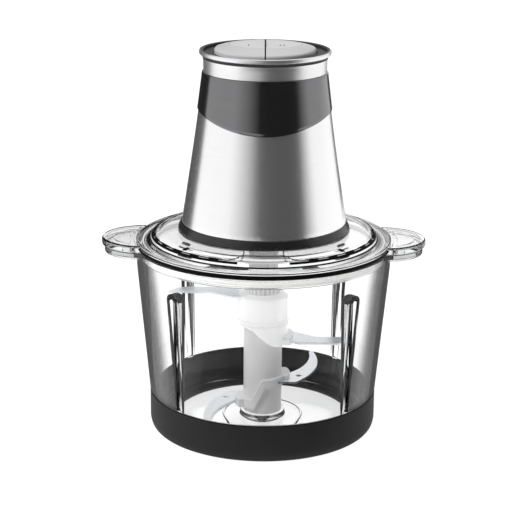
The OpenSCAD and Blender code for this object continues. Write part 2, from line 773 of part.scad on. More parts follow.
module planet_gear(i) {
    color([0.9, 0.88, 0.8]) rotate(360 * i / planets) translate([planet_x, 0, planet_z]) difference() {
        rotate(180) spur(planet_teeth, planet_w, tooth_slack);
        translate([0, 0, -1]) cylinder(r = pin_r + run_gap, h = planet_w + 2);
    }
}
module planet_gear_1() { planet_gear(0); }
module planet_gear_2() { planet_gear(1); }
module planet_gear_3() { planet_gear(2); }
module sun_pinion() {
    color([0.6, 0.6, 0.62]) translate([0, 0, planet_z]) difference() {
        union() {
            rotate(180 / sun_teeth) spur(sun_teeth, planet_w, tooth_slack);
            translate([0, 0, planet_w - eps]) cylinder(r = sun_hub_r, h = sun_hub_h + eps);
        }
        translate([0, 0, -1]) cylinder(r = shaft_r - 1, h = planet_w + sun_hub_h + 2);
    }
}

// Motor
module bearing(r, bore, w) {
    rotate_extrude() polygon([
        [bore, 0], [bore + 1.4, 0], [bore + 1.7, 0.4], [r - 1.7, 0.4], [r - 1.4, 0], [r, 0],
        [r, w], [r - 1.4, w], [r - 1.7, w - 0.4], [bore + 1.7, w - 0.4], [bore + 1.4, w], [bore, w]
    ]);
}
module lower_bearing() {
    color("silver") translate([0, 0, bearing_z]) bearing(bearing_r, shaft_r + run_gap, bearing_w);
}
module upper_bearing() {
    color("silver") translate([0, 0, bridge_z])
        bearing(upper_bearing_r, shaft_r - 1 + run_gap, upper_bearing_w);
}
module motor_shaft() {
    sun_top_z = planet_z + planet_w + sun_hub_h;
    color("silver") {
        translate([0, 0, planet_z]) cylinder(r = shaft_r - 1, h = sun_top_z - planet_z);
        translate([0, 0, sun_top_z]) cylinder(r = shaft_r, h = bridge_z - 0.6 - sun_top_z);
        translate([0, 0, bridge_z - 0.6]) cylinder(r = shaft_r - 1, h = shaft_top_z - bridge_z + 0.6);
    }
}
module armature_core() {
    slots = 12;
    color([0.45, 0.46, 0.48]) translate([0, 0, stack_z]) linear_extrude(stack_h) difference() {
        circle(r = armature_r);
        circle(r = shaft_r);
        for (i = [0 : slots - 1]) rotate(360 * i / slots) {
            translate([armature_r - 6, -0.8]) square([8, 1.6]);
            translate([armature_r - 5, 0]) circle(r = 1.9);
        }
    }
}
module armature_windings() {
    color([0.72, 0.42, 0.2]) for (z = [stack_z - winding_h, stack_top_z]) translate([0, 0, z])
        rotate_extrude() polygon([
            [shaft_r, 0.4], [shaft_r + 2, 0], [armature_r - 5, 0], [armature_r - 3, 1],
            [armature_r - 2.4, 2.4], [armature_r - 3, winding_h - 1], [armature_r - 4, winding_h],
            [shaft_r, winding_h]
        ]);
}
module commutator() {
    bars = 24;
    color([0.75, 0.48, 0.28]) translate([0, 0, commutator_z]) linear_extrude(commutator_h) difference() {
        circle(r = commutator_r);
        circle(r = shaft_r);
        for (i = [0 : bars - 1]) rotate(360 * i / bars)
            translate([commutator_r - 0.8, -0.25]) square([2, 0.5]);
    }
}
module cooling_fan() {
    color([0.2, 0.2, 0.2]) translate([0, 0, fan_z]) difference() {
        union() {
            cylinder(r = 7, h = fan_h);
            translate([0, 0, fan_h - 1.4]) cylinder(r = fan_r, h = 1.4);
            intersection() {
                cylinder(r = fan_r, h = fan_h);
                for (i = [0 : fan_vanes - 1]) rotate(360 * i / fan_vanes)
                    translate([6, -0.6, 0]) rotate(-14) cube([fan_r, 1.2, fan_h]);
            }
        }
        translate([0, 0, -1]) cylinder(r = shaft_r, h = fan_h + 2);
    }
}
module stator_core() {
    bore = armature_r + air_gap;
    shoe_r = bore + 2.7;
    pole_half = 12;
    color([0.5, 0.51, 0.53]) translate([0, 0, stack_z]) linear_extrude(stack_h) difference() {
        intersection() {
            square([stator_x, stator_y], center = true);
            circle(r = stator_x / 2 + 8);
        }
        difference() {
            square([stator_x - 16, stator_y - 14], center = true);
            square([stator_x, 2 * pole_half], center = true);
            intersection() {
                circle(r = shoe_r);
                for (side = [0, 180]) rotate(side)
                    polygon([[0, 0], [40, -40 * tan(56)], [40, 40 * tan(56)]]);
            }
        }
        circle(r = bore);
        four_corners(bolt_x, bolt_y) circle(r = bolt_r);
    }
}
module field_coils() {
    wide = 18.6;
    narrow = 12.2;
    low_z = stack_z - coil_over;
    tall = stack_h + 2 * coil_over;
    color([0.75, 0.4, 0.16]) both_sides() translate([armature_r + air_gap + 3, 0, low_z])
        rotate([90, 0, 90]) linear_extrude(6.2) difference() {
            intersection() {
                translate([-wide, 0]) square([2 * wide, tall]);
                translate([0, tall / 2]) circle(r = tall / 2 + 4.6);
            }
            translate([-narrow, coil_over - 0.2]) square([2 * narrow, stack_h + 0.4]);
        }
}
module motor_bolts() {
    color("silver") four_corners(bolt_x, bolt_y) translate([0, 0, stack_z - damper_t - 12])
        screw(bolt_r, stack_h + damper_t + 12, 3.6, 2.6);
}
module motor_dampers() {
    color([0.1, 0.1, 0.1]) four_corners(bolt_x, bolt_y) translate([0, 0, stack_z - damper_t])
        tube(4.6, bolt_r, damper_t);
}
module bearing_bridge() {
    color([0.72, 0.73, 0.75]) difference() {
        union() {
            translate([-8, -stator_y / 2, bridge_z]) cube([16, stator_y, bridge_t]);
            translate([0, 0, bridge_z]) cylinder(r = upper_bearing_r + 2.5, h = upper_bearing_w + 1.2);
            for (side = [-1, 1]) translate([-6, side * bridge_leg_y - 2, stack_top_z])
                cube([12, 4, bridge_z - stack_top_z]);
        }
        translate([0, 0, bridge_z - 1]) cylinder(r = upper_bearing_r, h = upper_bearing_w + 1);
        translate([0, 0, bridge_z]) cylinder(r = shaft_r, h = 10);
    }
}
module brush_plate() {
    half_y = bridge_leg_y - 2;
    color([0.55, 0.35, 0.2]) translate([0, 0, brush_plate_z]) difference() {
        intersection() {
            translate([-33, -half_y, 0]) cube([66, 2 * half_y, brush_plate_t]);
            cylinder(r = 36, h = brush_plate_t);
        }
        translate([0, 0, -1]) cylinder(r = commutator_r + 1.6, h = brush_plate_t + 2);
    }
}
module brush_holders() {
    low = brush_z - brush_hh / 2 - holder_wall;
    foot_z = brush_plate_z + brush_plate_t;
    color([0.8, 0.65, 0.35]) both_sides() difference() {
        translate([holder_x, -brush_w / 2 - holder_wall, foot_z])
            cube([holder_len, brush_w + 2 * holder_wall, low - foot_z + brush_hh + 2 * holder_wall]);
        translate([holder_x - 1, -brush_w / 2, brush_z - brush_hh / 2])
            cube([holder_len, brush_w, brush_hh]);
    }
}
module carbon_brushes() {
    color([0.12, 0.12, 0.13]) both_sides() intersection() {
        translate([commutator_r - 2, -brush_w / 2, brush_z - brush_hh / 2])
            cube([brush_len + 2.3, brush_w, brush_hh]);
        translate([0, 0, brush_z - 6]) tube(50, brush_x, 12);
    }
}
module brush_springs() {
    low_x = brush_x + brush_len;
    color("silver") both_sides() translate([low_x, 0, brush_z]) rotate([0, 90, 0])
        coil_spring(1.7, 0.35, 4, holder_x + holder_len - 1 - low_x);
}

// Controls
module circuit_board() {
    color([0.1, 0.35, 0.2]) translate([0, 0, board_z]) {
        difference() {
            translate([-30, -18, 0]) cube([60, 36, board_t]);
            translate([0, 0, -1]) cylinder(r = 5, h = board_t + 2);
        }
        translate([-4, -16, board_t - eps]) cube([8, 6, 5]);
        translate([0, 12, board_t - eps]) cylinder(r = 3.5, h = 7);
        for (x = [-9, 9]) translate([x - 1.5, -9, board_t - eps]) cube([3, 2, 1.4]);
    }
}
module speed_switches() {
    body_z = board_z + board_t;
    color([0.2, 0.2, 0.22]) both_sides() translate([post_x + 2, 0, 0]) {
        translate([-5, 7, body_z]) cube([12, 9, switch_top_z - 1.5 - body_z]);
        translate([0, 11.5, body_z]) cylinder(r = 1.4, h = switch_top_z - body_z);
    }
}
module button_spring(side) {
    color("silver") translate([side * post_x, -2, spring_z])
        coil_spring(spring_r, spring_wire, spring_turns, spring_top_z - spring_z);
}
module button_spring_left() { button_spring(-1); }
module button_spring_right() { button_spring(1); }
module button_half() {
    shoulder_z = collar_top_z - 0.6;
    difference() {
        rotate_extrude() polygon([
            [0, button_skirt_z], [button_r, button_skirt_z], [button_r, shoulder_z - 0.8],
            [button_r - 0.4, shoulder_z], [button_top_r + 1, button_top_z - 0.5],
            [button_top_r, button_top_z], [button_top_r - 1.4, button_top_z], [0, button_top_z - 0.7]
        ]);
        translate([0, 0, button_skirt_z - 1]) intersection() {
            rotate_extrude() polygon([
                [0, 0], [button_r - button_wall, 0],
                [button_r - button_wall, shoulder_z - 1.6 - button_skirt_z],
                [button_top_r, button_top_z - 1.2 - button_skirt_z],
                [0, button_top_z - 1.7 - button_skirt_z]
            ]);
            translate([button_gap / 2 + button_wall, -button_r, 0]) cube(2 * button_r);
        }
        translate([-2 * button_r + button_gap / 2, -button_r - 1, 0])
            cube([2 * button_r, 2 * button_r + 2, button_top_z + 1]);
    }
    translate([post_x, -2, button_skirt_z - 1]) cylinder(r = spring_r - spring_wire - 0.6, h = 8);
    translate([post_x, -2, spring_top_z]) cylinder(r = spring_r + 2, h = button_top_z - 2 - spring_top_z);
    translate([post_x + 2, 11.5, button_skirt_z]) cylinder(r = 2.4, h = button_top_z - 2 - button_skirt_z);
}
module button_right() { color([0.75, 0.76, 0.78]) button_half(); }
module button_left() { color([0.75, 0.76, 0.78]) mirror([1, 0, 0]) button_half(); }
module cord_gland() {
    face_y = sleeve_out(gland_z);
    color([0.1, 0.1, 0.1]) difference() {
        union() {
            translate([0, face_y - 6, gland_z]) rotate([-90, 0, 0]) cylinder(r = gland_r - 1.5, h = 8);
            translate([0, face_y - 6.5, gland_z]) rotate([-90, 0, 0]) cylinder(r = gland_r, h = 2);
            difference() {
                translate([0, face_y - 1, gland_z]) rotate([-90, 0, 0]) cylinder(r = gland_r, h = 4.6);
                rotate_extrude() polygon(sleeve_layer(sleeve_z, sleeve_top_z, -20, eps));
            }
        }
        translate([0, face_y - 8, gland_z]) rotate([-90, 0, 0]) cylinder(r = gland_hole_r, h = 20);
    }
}

// Fasteners
module cover_screws() {
    color("silver") for (turn = [45 : 90 : 315]) rotate(turn)
        translate([cover_screw_r, 0, plate_z + 10]) mirror([0, 0, 1]) screw(1.5, 11.4, 3.2, 1.6);
}
module gear_screws() {
    color("silver") for (turn = [0 : 90 : 270]) rotate(turn)
        translate([gear_screw_r, 0, case_top_z - 9]) screw(1.5, 9 + plate_t, 2.8, 2);
}

// Blade set
// The lower blades are sickles between two arcs, drawn for the right side
module sickle() {
    difference() {
        intersection() {
            translate([-28.1, 33.8]) circle(r = 72.6, $fn = 180);
            translate([12, -14.8]) square([40, 70.8]);
        }
        translate([-21.3, 49.4]) circle(r = 59.9, $fn = 180);
    }
    translate([tang_r, -8]) square([8, 14]);
}
module low_blade() {
    difference() {
        linear_extrude(blade_t) sickle();
        translate([28.6, -1, -1]) cylinder(r = 2.2, h = blade_t + 2);
        translate([-21.3, 49.4, blade_t - 1]) intersection() {
            cylinder(r1 = 59.9, r2 = 61.4, h = 1 + eps, $fn = 180);
            translate([40, -70, -1]) cube([40, 120, 4]);
        }
    }
}
// The upper blades are straight knives with a curved point, drawn for the right side
module knife() {
    intersection() {
        polygon([
            [tang_r, -8], [holder_r - 1, -10], [28, -knife_w], [blade_reach + 2, -knife_w],
            [blade_reach + 2, -2.5], [42, -2.5], [24, 9.5], [holder_r - 1, 10], [tang_r, 8]
        ]);
        translate([48, 9.5]) circle(r = 28.4);
    }
    polygon([
        [tang_r, -8], [holder_r - 1, -10], [28, -knife_w], [52, -knife_w],
        [52, -2.5], [42, -2.5], [24, 9.5], [holder_r - 1, 10], [tang_r, 8]
    ]);
}
module high_blade() {
    difference() {
        linear_extrude(blade_t) intersection() {
            knife();
            circle(r = blade_reach);
        }
        translate([20, -knife_w, blade_t]) rotate([bevel, 0, 0]) translate([0, -6, -0.2])
            cube([blade_reach, 7.6, 4]);
    }
}
module low_right() { translate([0, 0, low_right_z]) low_blade(); }
module low_left() { translate([0, 0, low_left_z]) rotate(180) low_blade(); }
module high_right() { translate([0, 0, high_right_z]) high_blade(); }
module high_left() { translate([0, 0, high_left_z]) rotate(180) high_blade(); }
module lower_blade_left() { color([0.8, 0.83, 0.86]) low_left(); }
module lower_blade_right() { color([0.8, 0.83, 0.86]) low_right(); }
module upper_blade_left() { color([0.8, 0.83, 0.86]) high_left(); }
module upper_blade_right() { color([0.8, 0.83, 0.86]) high_right(); }
// A raised band round the tower, low on the left and high on the right
module tower_fairing() {
    fair_r = tower_r + 3;
    lug_r = tower_r + 6.5;
    low = low_left_z - 2.4;
    high = low_right_z - 2.4;
    band = blade_t + 5;
    intersection() {
        translate([0, 0, low]) cylinder(r = fair_r, h = high + band - low);
        translate([0, 30, 0]) rotate([90, 0, 0]) linear_extrude(60) polygon([
            [-fair_r - 1, low], [-7, low], [2, high - 1], [fair_r + 1, high], [fair_r + 1, high + band],
            [-0.5, high + band - 1], [-9, low + band], [-fair_r - 1, low + band]
        ]);
    }
    intersection() {
        translate([-lug_r - 1, -11, low + eps]) cube([14, 19, band - 2 * eps]);
        translate([0, 0, low]) cylinder(r = lug_r, h = band);
    }
    intersection() {
        translate([lug_r - 13, -8, high + eps]) cube([14, 19, band - 2 * eps]);
        translate([0, 0, high]) cylinder(r = lug_r, h = band);
    }
}
module blade_tower() {
    color([0.86, 0.87, 0.87]) difference() {
        union() {
            translate([0, 0, foot_z]) cylinder(r = tower_r, h = shoulder_up);
            translate([0, 0, shoulder_z - eps]) cylinder(r = neck_r, h = neck_h + eps);
            translate([0, 0, neck_top_z - eps]) linear_extrude(spline_top_z - neck_top_z - 2 + eps)
                spline_outline(0);
            translate([0, 0, spline_top_z - 2 - eps])
                cylinder(r1 = spline_r - spline_rib - 0.3, r2 = spline_r - spline_rib - 1.4, h = 2 + eps);
            tower_fairing();
        }
        translate([0, 0, foot_z - 1]) cylinder(r = bush_r, h = bush_top_z - foot_z + 1);
        translate([0, 0, bush_top_z - eps])
            cylinder(r = bush_r - 1.4, h = spindle_top_z + 1.5 - bush_top_z);
        translate([0, 0, foot_z - 1]) cylinder(r = tower_r - 3, h = 3);
        low_left();
        low_right();
        high_left();
        high_right();
    }
}
module tower_bush() {
    color([0.72, 0.52, 0.3]) translate([0, 0, foot_z + 0.4])
        tube(bush_r, spindle_r + run_gap, bush_top_z - foot_z - 0.4);
}
module blade_collar() {
    core_h = 12.4;
    cone_h = 6;
    side_h = neck_h - core_h - cone_h - 1;
    ring_z = shoulder_z + 4.6;
    skirt_z = high_right_z - 2.6;
    pocket_r = holder_r + 4.5;
    color([0.93, 0.94, 0.94]) difference() {
        union() {
            translate([0, 0, shoulder_z]) tube(holder_r, neck_r, core_h);
            translate([0, 0, shoulder_z + core_h - eps]) tube(holder_r, holder_r - 2, side_h);
            translate([0, 0, shoulder_z + core_h + side_h - eps]) difference() {
                cylinder(r1 = holder_r, r2 = holder_r - 3, h = cone_h);
                translate([0, 0, -1]) cylinder(r = neck_r, h = cone_h + 2);
            }
            intersection() {
                translate([0, 0, skirt_z]) tube(holder_r, tower_r, ring_z - skirt_z);
                translate([0, 30, 0]) rotate([90, 0, 0]) linear_extrude(60) polygon([
                    [-holder_r - 1, ring_z], [-holder_r - 1, ring_z - 3], [-8, ring_z - 6.5],
                    [6, skirt_z + 2], [12, skirt_z - eps], [holder_r + 1, skirt_z - eps],
                    [holder_r + 1, ring_z]
                ]);
            }
            translate([0, 0, skirt_z]) difference() {
                intersection() {
                    translate([8, -11, 0]) cube([pocket_r - 6, 22, blade_t + 4.6]);
                    cylinder(r = pocket_r, h = 10);
                }
                translate([0, 0, -1]) cylinder(r = tower_r, h = 10);
            }
        }
        high_left();
        high_right();
    }
}

bowl();
base_ring();
bowl_spindle();
lid();
lid_seal();
base_cover();
housing_sleeve();
shoulder_band();
top_collar();
deck_plate();
chassis();
gear_case();
ring_gear();
gear_cover();
output_bush();
output_seal();
lower_bearing();
upper_bearing();
stator_core();
field_coils();
bearing_bridge();
brush_plate();
brush_holders();
carbon_brushes();
brush_springs();
circuit_board();
speed_switches();
cord_gland();
cover_screws();
gear_screws();
motor_bolts();
motor_dampers();
button_spring_left();
button_spring_right();
motor_shaft();
armature_core();
armature_windings();
commutator();
cooling_fan();
sun_pinion();
planet_carrier();
planet_pins();
carrier_ring();
output_shaft();
drive_coupling();
planet_gear_1();
planet_gear_2();
planet_gear_3();
blade_tower();
tower_bush();
lower_blade_left();
lower_blade_right();
upper_blade_left();
upper_blade_right();
blade_collar();
button_left();
button_right();
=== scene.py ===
import math

import bmesh
import bpy
from mathutils import Matrix, Vector
from mathutils.kdtree import KDTree


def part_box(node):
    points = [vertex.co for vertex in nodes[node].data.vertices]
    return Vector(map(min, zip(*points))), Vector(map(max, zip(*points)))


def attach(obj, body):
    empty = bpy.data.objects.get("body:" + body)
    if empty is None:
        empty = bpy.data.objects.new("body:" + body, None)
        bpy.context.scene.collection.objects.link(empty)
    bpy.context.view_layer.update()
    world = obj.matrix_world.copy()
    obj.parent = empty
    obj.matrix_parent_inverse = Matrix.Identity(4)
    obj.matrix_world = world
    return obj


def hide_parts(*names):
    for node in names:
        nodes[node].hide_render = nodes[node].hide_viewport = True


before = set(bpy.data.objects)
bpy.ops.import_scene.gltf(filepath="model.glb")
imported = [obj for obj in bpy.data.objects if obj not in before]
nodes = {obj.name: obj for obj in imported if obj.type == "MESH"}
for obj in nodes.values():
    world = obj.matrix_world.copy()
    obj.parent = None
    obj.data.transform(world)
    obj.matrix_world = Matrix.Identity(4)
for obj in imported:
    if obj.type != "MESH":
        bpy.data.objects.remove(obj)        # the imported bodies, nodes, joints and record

scene = bpy.context.scene
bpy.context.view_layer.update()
mm = 0.001
fullTurn = 2 * math.pi


# The camera stands in front and a little above, as the photograph was taken
camera = {
    "place": (0.0, -1.221, 0.4934),
    "aim": (0.0, 0.0, 0.135),
    "lens": 116.2,
    "sensor": 36.0,
    "shiftX": -0.0148,
    "roll": 0.5,          # degrees, the object's top leans to the right
}


def makeCamera(info):
    data = bpy.data.cameras.new("viewCamera")
    data.lens = info["lens"]
    data.sensor_width = info["sensor"]
    data.shift_x = info["shiftX"]
    data.clip_start = 0.01
    data.clip_end = 50
    eye = bpy.data.objects.new("viewCamera", data)
    look = Vector(info["aim"]) - Vector(info["place"])
    turn = look.to_track_quat("-Z", "Y").to_matrix().to_4x4()
    tilt = Matrix.Rotation(math.radians(info["roll"]), 4, "Z")
    eye.matrix_world = Matrix.Translation(info["place"]) @ turn @ tilt
    scene.collection.objects.link(eye)
    scene.camera = eye


makeCamera(camera)
print("camera set")


# Node helpers
def newMaterial(name):
    material = bpy.data.materials.new(name)
    material.use_nodes = True
    tree = material.node_tree
    return material, tree, tree.nodes["Principled BSDF"]


def addNode(tree, kind, **values):
    node = tree.nodes.new(kind)
    for key, value in values.items():
        if key in node.inputs:
            node.inputs[key].default_value = value
        else:
            setattr(node, key, value)
    return node


def noiseOf(tree, scale, detail=3.0, stretch=(1, 1, 1)):
    place = addNode(tree, "ShaderNodeTexCoord")
    mapping = addNode(tree, "ShaderNodeMapping")
    mapping.inputs["Scale"].default_value = stretch
    noise = addNode(tree, "ShaderNodeTexNoise", Scale=scale, Detail=detail)
    tree.links.new(place.outputs["Object"], mapping.inputs["Vector"])
    tree.links.new(mapping.outputs["Vector"], noise.inputs["Vector"])
    return noise


# A value carried from one range to another, and held at the ends
def ranged(tree, source, low, high, start, end):
    ramp = addNode(tree, "ShaderNodeMapRange")
    for key, value in (("From Min", low), ("From Max", high), ("To Min", start), ("To Max", end)):
        ramp.inputs[key].default_value = value
    tree.links.new(source, ramp.inputs["Value"])
    return ramp.outputs["Result"]


def tint(tree, source, dark, light):
    mix = addNode(tree, "ShaderNodeMix", data_type="RGBA")
    colors = [socket for socket in mix.inputs if socket.type == "RGBA"]
    colors[0].default_value = (*dark, 1)
    colors[1].default_value = (*light, 1)
    tree.links.new(source, mix.inputs["Factor"])
    return next(socket for socket in mix.outputs if socket.type == "RGBA")


def combined(tree, operation, first, second):
    node = addNode(tree, "ShaderNodeMath", operation=operation)
    tree.links.new(first, node.inputs[0])
    tree.links.new(second, node.inputs[1])
    return node.outputs[0]


def times(tree, first, second):
    return combined(tree, "MULTIPLY", first, second)


# One between two heights in millimetres and nought elsewhere, with short fades
def heightBand(tree, surface, low, high, fade=0.3):
    place = addNode(tree, "ShaderNodeSeparateXYZ")
    tree.links.new(surface.outputs["Position"], place.inputs["Vector"])
    rise = ranged(tree, place.outputs["Z"], (low - fade) * mm, low * mm, 0.0, 1.0)
    fall = ranged(tree, place.outputs["Z"], high * mm, (high + fade) * mm, 1.0, 0.0)
    return times(tree, rise, fall)


# How far a place lies inside a wall that runs straight from one radius and height to another
def wallDepth(tree, surface, wall):
    (lowR, lowZ), (highR, highZ) = wall
    flat = addNode(tree, "ShaderNodeVectorMath", operation="MULTIPLY")
    flat.inputs[1].default_value = (1, 1, 0)
    tree.links.new(surface.outputs["Position"], flat.inputs[0])
    reach = addNode(tree, "ShaderNodeVectorMath", operation="LENGTH")
    tree.links.new(flat.outputs["Vector"], reach.inputs[0])
    place = addNode(tree, "ShaderNodeSeparateXYZ")
    tree.links.new(surface.outputs["Position"], place.inputs["Vector"])
    radius = ranged(tree, place.outputs["Z"], lowZ * mm, highZ * mm, lowR * mm, highR * mm)
    return combined(tree, "SUBTRACT", radius, reach.outputs["Value"])


def bumpFrom(tree, source, shader, depth, strength=1.0):
    bump = addNode(tree, "ShaderNodeBump", Strength=strength, Distance=depth)
    tree.links.new(source, bump.inputs["Height"])
    tree.links.new(bump.outputs["Normal"], shader.inputs["Normal"])


def plasticFinish(name, look):
    material, tree, shader = newMaterial(name)
    cloud = noiseOf(tree, look.get("cloud", 40.0))
    color = tint(tree, cloud.outputs["Fac"], look["dark"], look["light"])
    tree.links.new(color, shader.inputs["Base Color"])
    rough = ranged(tree, cloud.outputs["Fac"], 0.0, 1.0, *look["rough"])
    tree.links.new(rough, shader.inputs["Roughness"])
    shader.inputs["Specular IOR Level"].default_value = look.get("specular", 0.5)
    shader.inputs["Coat Weight"].default_value = look.get("coat", 0.0)
    shader.inputs["Coat Roughness"].default_value = 0.05
    # painted light: a white glow on parts that are no lamp
    shader.inputs["Emission Color"].default_value = (1, 1, 1, 1)
    shader.inputs["Emission Strength"].default_value = look.get("glow", 0.0)
    shader.inputs["Transmission Weight"].default_value = look.get("clear", 0.0)
    grain = noiseOf(tree, look.get("grain", 900.0), 2.0)
    bumpFrom(tree, grain.outputs["Fac"], shader, look.get("grainDeep", 0.02) * mm)
    return material


def metalFinish(name, look):
    material, tree, shader = newMaterial(name)
    brush = noiseOf(tree, look.get("brush", 300.0), 4.0, look.get("stretch", (1, 1, 12)))
    color = tint(tree, brush.outputs["Fac"], look["dark"], look["light"])
    tree.links.new(color, shader.inputs["Base Color"])
    rough = ranged(tree, brush.outputs["Fac"], 0.0, 1.0, *look["rough"])
    tree.links.new(rough, shader.inputs["Roughness"])
    shader.inputs["Metallic"].default_value = look.get("metallic", 1.0)
    shader.inputs["Anisotropic"].default_value = look.get("anisotropic", 0.0)
    if look.get("anisotropic"):
        tangent = addNode(tree, "ShaderNodeTangent", direction_type="RADIAL", axis="Z")
        tree.links.new(tangent.outputs["Tangent"], shader.inputs["Tangent"])
    bumpFrom(tree, brush.outputs["Fac"], shader, look.get("brushDeep", 0.003) * mm)
    return material


# Painted shade in clear plastic's colour: darker towards an upright face's edges, on flute flanks and at some
# heights too, in place of the dark that refraction shows there
def paintedGlassShade(tree, look, surface, tilt, upright, facing):
    start, end, most = look["edge"]
    shade = times(tree, upright, ranged(tree, facing, start, end, 0.0, most))
    if "ridge" in look:
        (start, end), most = look["ridge"]
        near, far = look["ridgeProud"]
        proud = ranged(tree, wallDepth(tree, surface, look["wallAt"]), near * mm, far * mm, 0.0, most)
        flank = ranged(tree, facing, start, end, 0.0, 1.0)
        shade = combined(tree, "MAXIMUM", shade, times(tree, times(tree, upright, proud), flank))
    for low, high, most, (start, end) in look["bands"]:
        sides = ranged(tree, tilt, start, end, 0.0, most)
        shade = combined(tree, "MAXIMUM", shade, times(tree, heightBand(tree, surface, low, high), sides))
    return shade


# Clear plastic: tinted glass that soaks up light, with painted shade in its colour and a painted dark matt
# rim where an upright face turns away
def clearFinish(name, look):
    material, tree, shader = newMaterial(name)
    haze = noiseOf(tree, look["haze"], 2.0)
    tree.links.new(ranged(tree, haze.outputs["Fac"], 0.0, 1.0, *look["rough"]), shader.inputs["Roughness"])
    shader.inputs["Transmission Weight"].default_value = 1.0
    shader.inputs["IOR"].default_value = look["ior"]
    shader.inputs["Specular IOR Level"].default_value = look["specular"]
    shader.inputs["Specular Tint"].default_value = (*[look["tint"]] * 3, 1)
    wave = noiseOf(tree, look["wave"], 1.0)
    bumpFrom(tree, wave.outputs["Fac"], shader, look["waveDeep"] * mm)
    facing = addNode(tree, "ShaderNodeLayerWeight", Blend=0.5).outputs["Facing"]
    surface = addNode(tree, "ShaderNodeNewGeometry")
    normal = addNode(tree, "ShaderNodeSeparateXYZ")
    tree.links.new(surface.outputs["Normal"], normal.inputs["Vector"])
    tilt = addNode(tree, "ShaderNodeMath", operation="ABSOLUTE")
    tree.links.new(normal.outputs["Z"], tilt.inputs[0])
    upright = ranged(tree, tilt.outputs[0], *uprightTilt, 1.0, 0.0)
    shade = paintedGlassShade(tree, look, surface, tilt.outputs[0], upright, facing)
    tree.links.new(tint(tree, shade, (1, 1, 1), (0, 0, 0)), shader.inputs["Base Color"])
    soak = addNode(tree, "ShaderNodeVolumeAbsorption", Density=look["soak"])
    soak.inputs["Color"].default_value = (*look["soakColor"], 1)
    dark = addNode(tree, "ShaderNodeBsdfDiffuse", Color=(*[look["rimDark"]] * 3, 1))
    start, end, most = look["rim"]
    both = addNode(tree, "ShaderNodeMixShader")
    tree.links.new(times(tree, upright, ranged(tree, facing, start, end, 0.0, most)), both.inputs["Fac"])
    tree.links.new(shader.outputs["BSDF"], both.inputs[1])
    tree.links.new(dark.outputs["BSDF"], both.inputs[2])
    out = tree.nodes["Material Output"]
    tree.links.new(both.outputs["Shader"], out.inputs["Surface"])
    tree.links.new(soak.outputs["Volume"], out.inputs["Volume"])
    return material


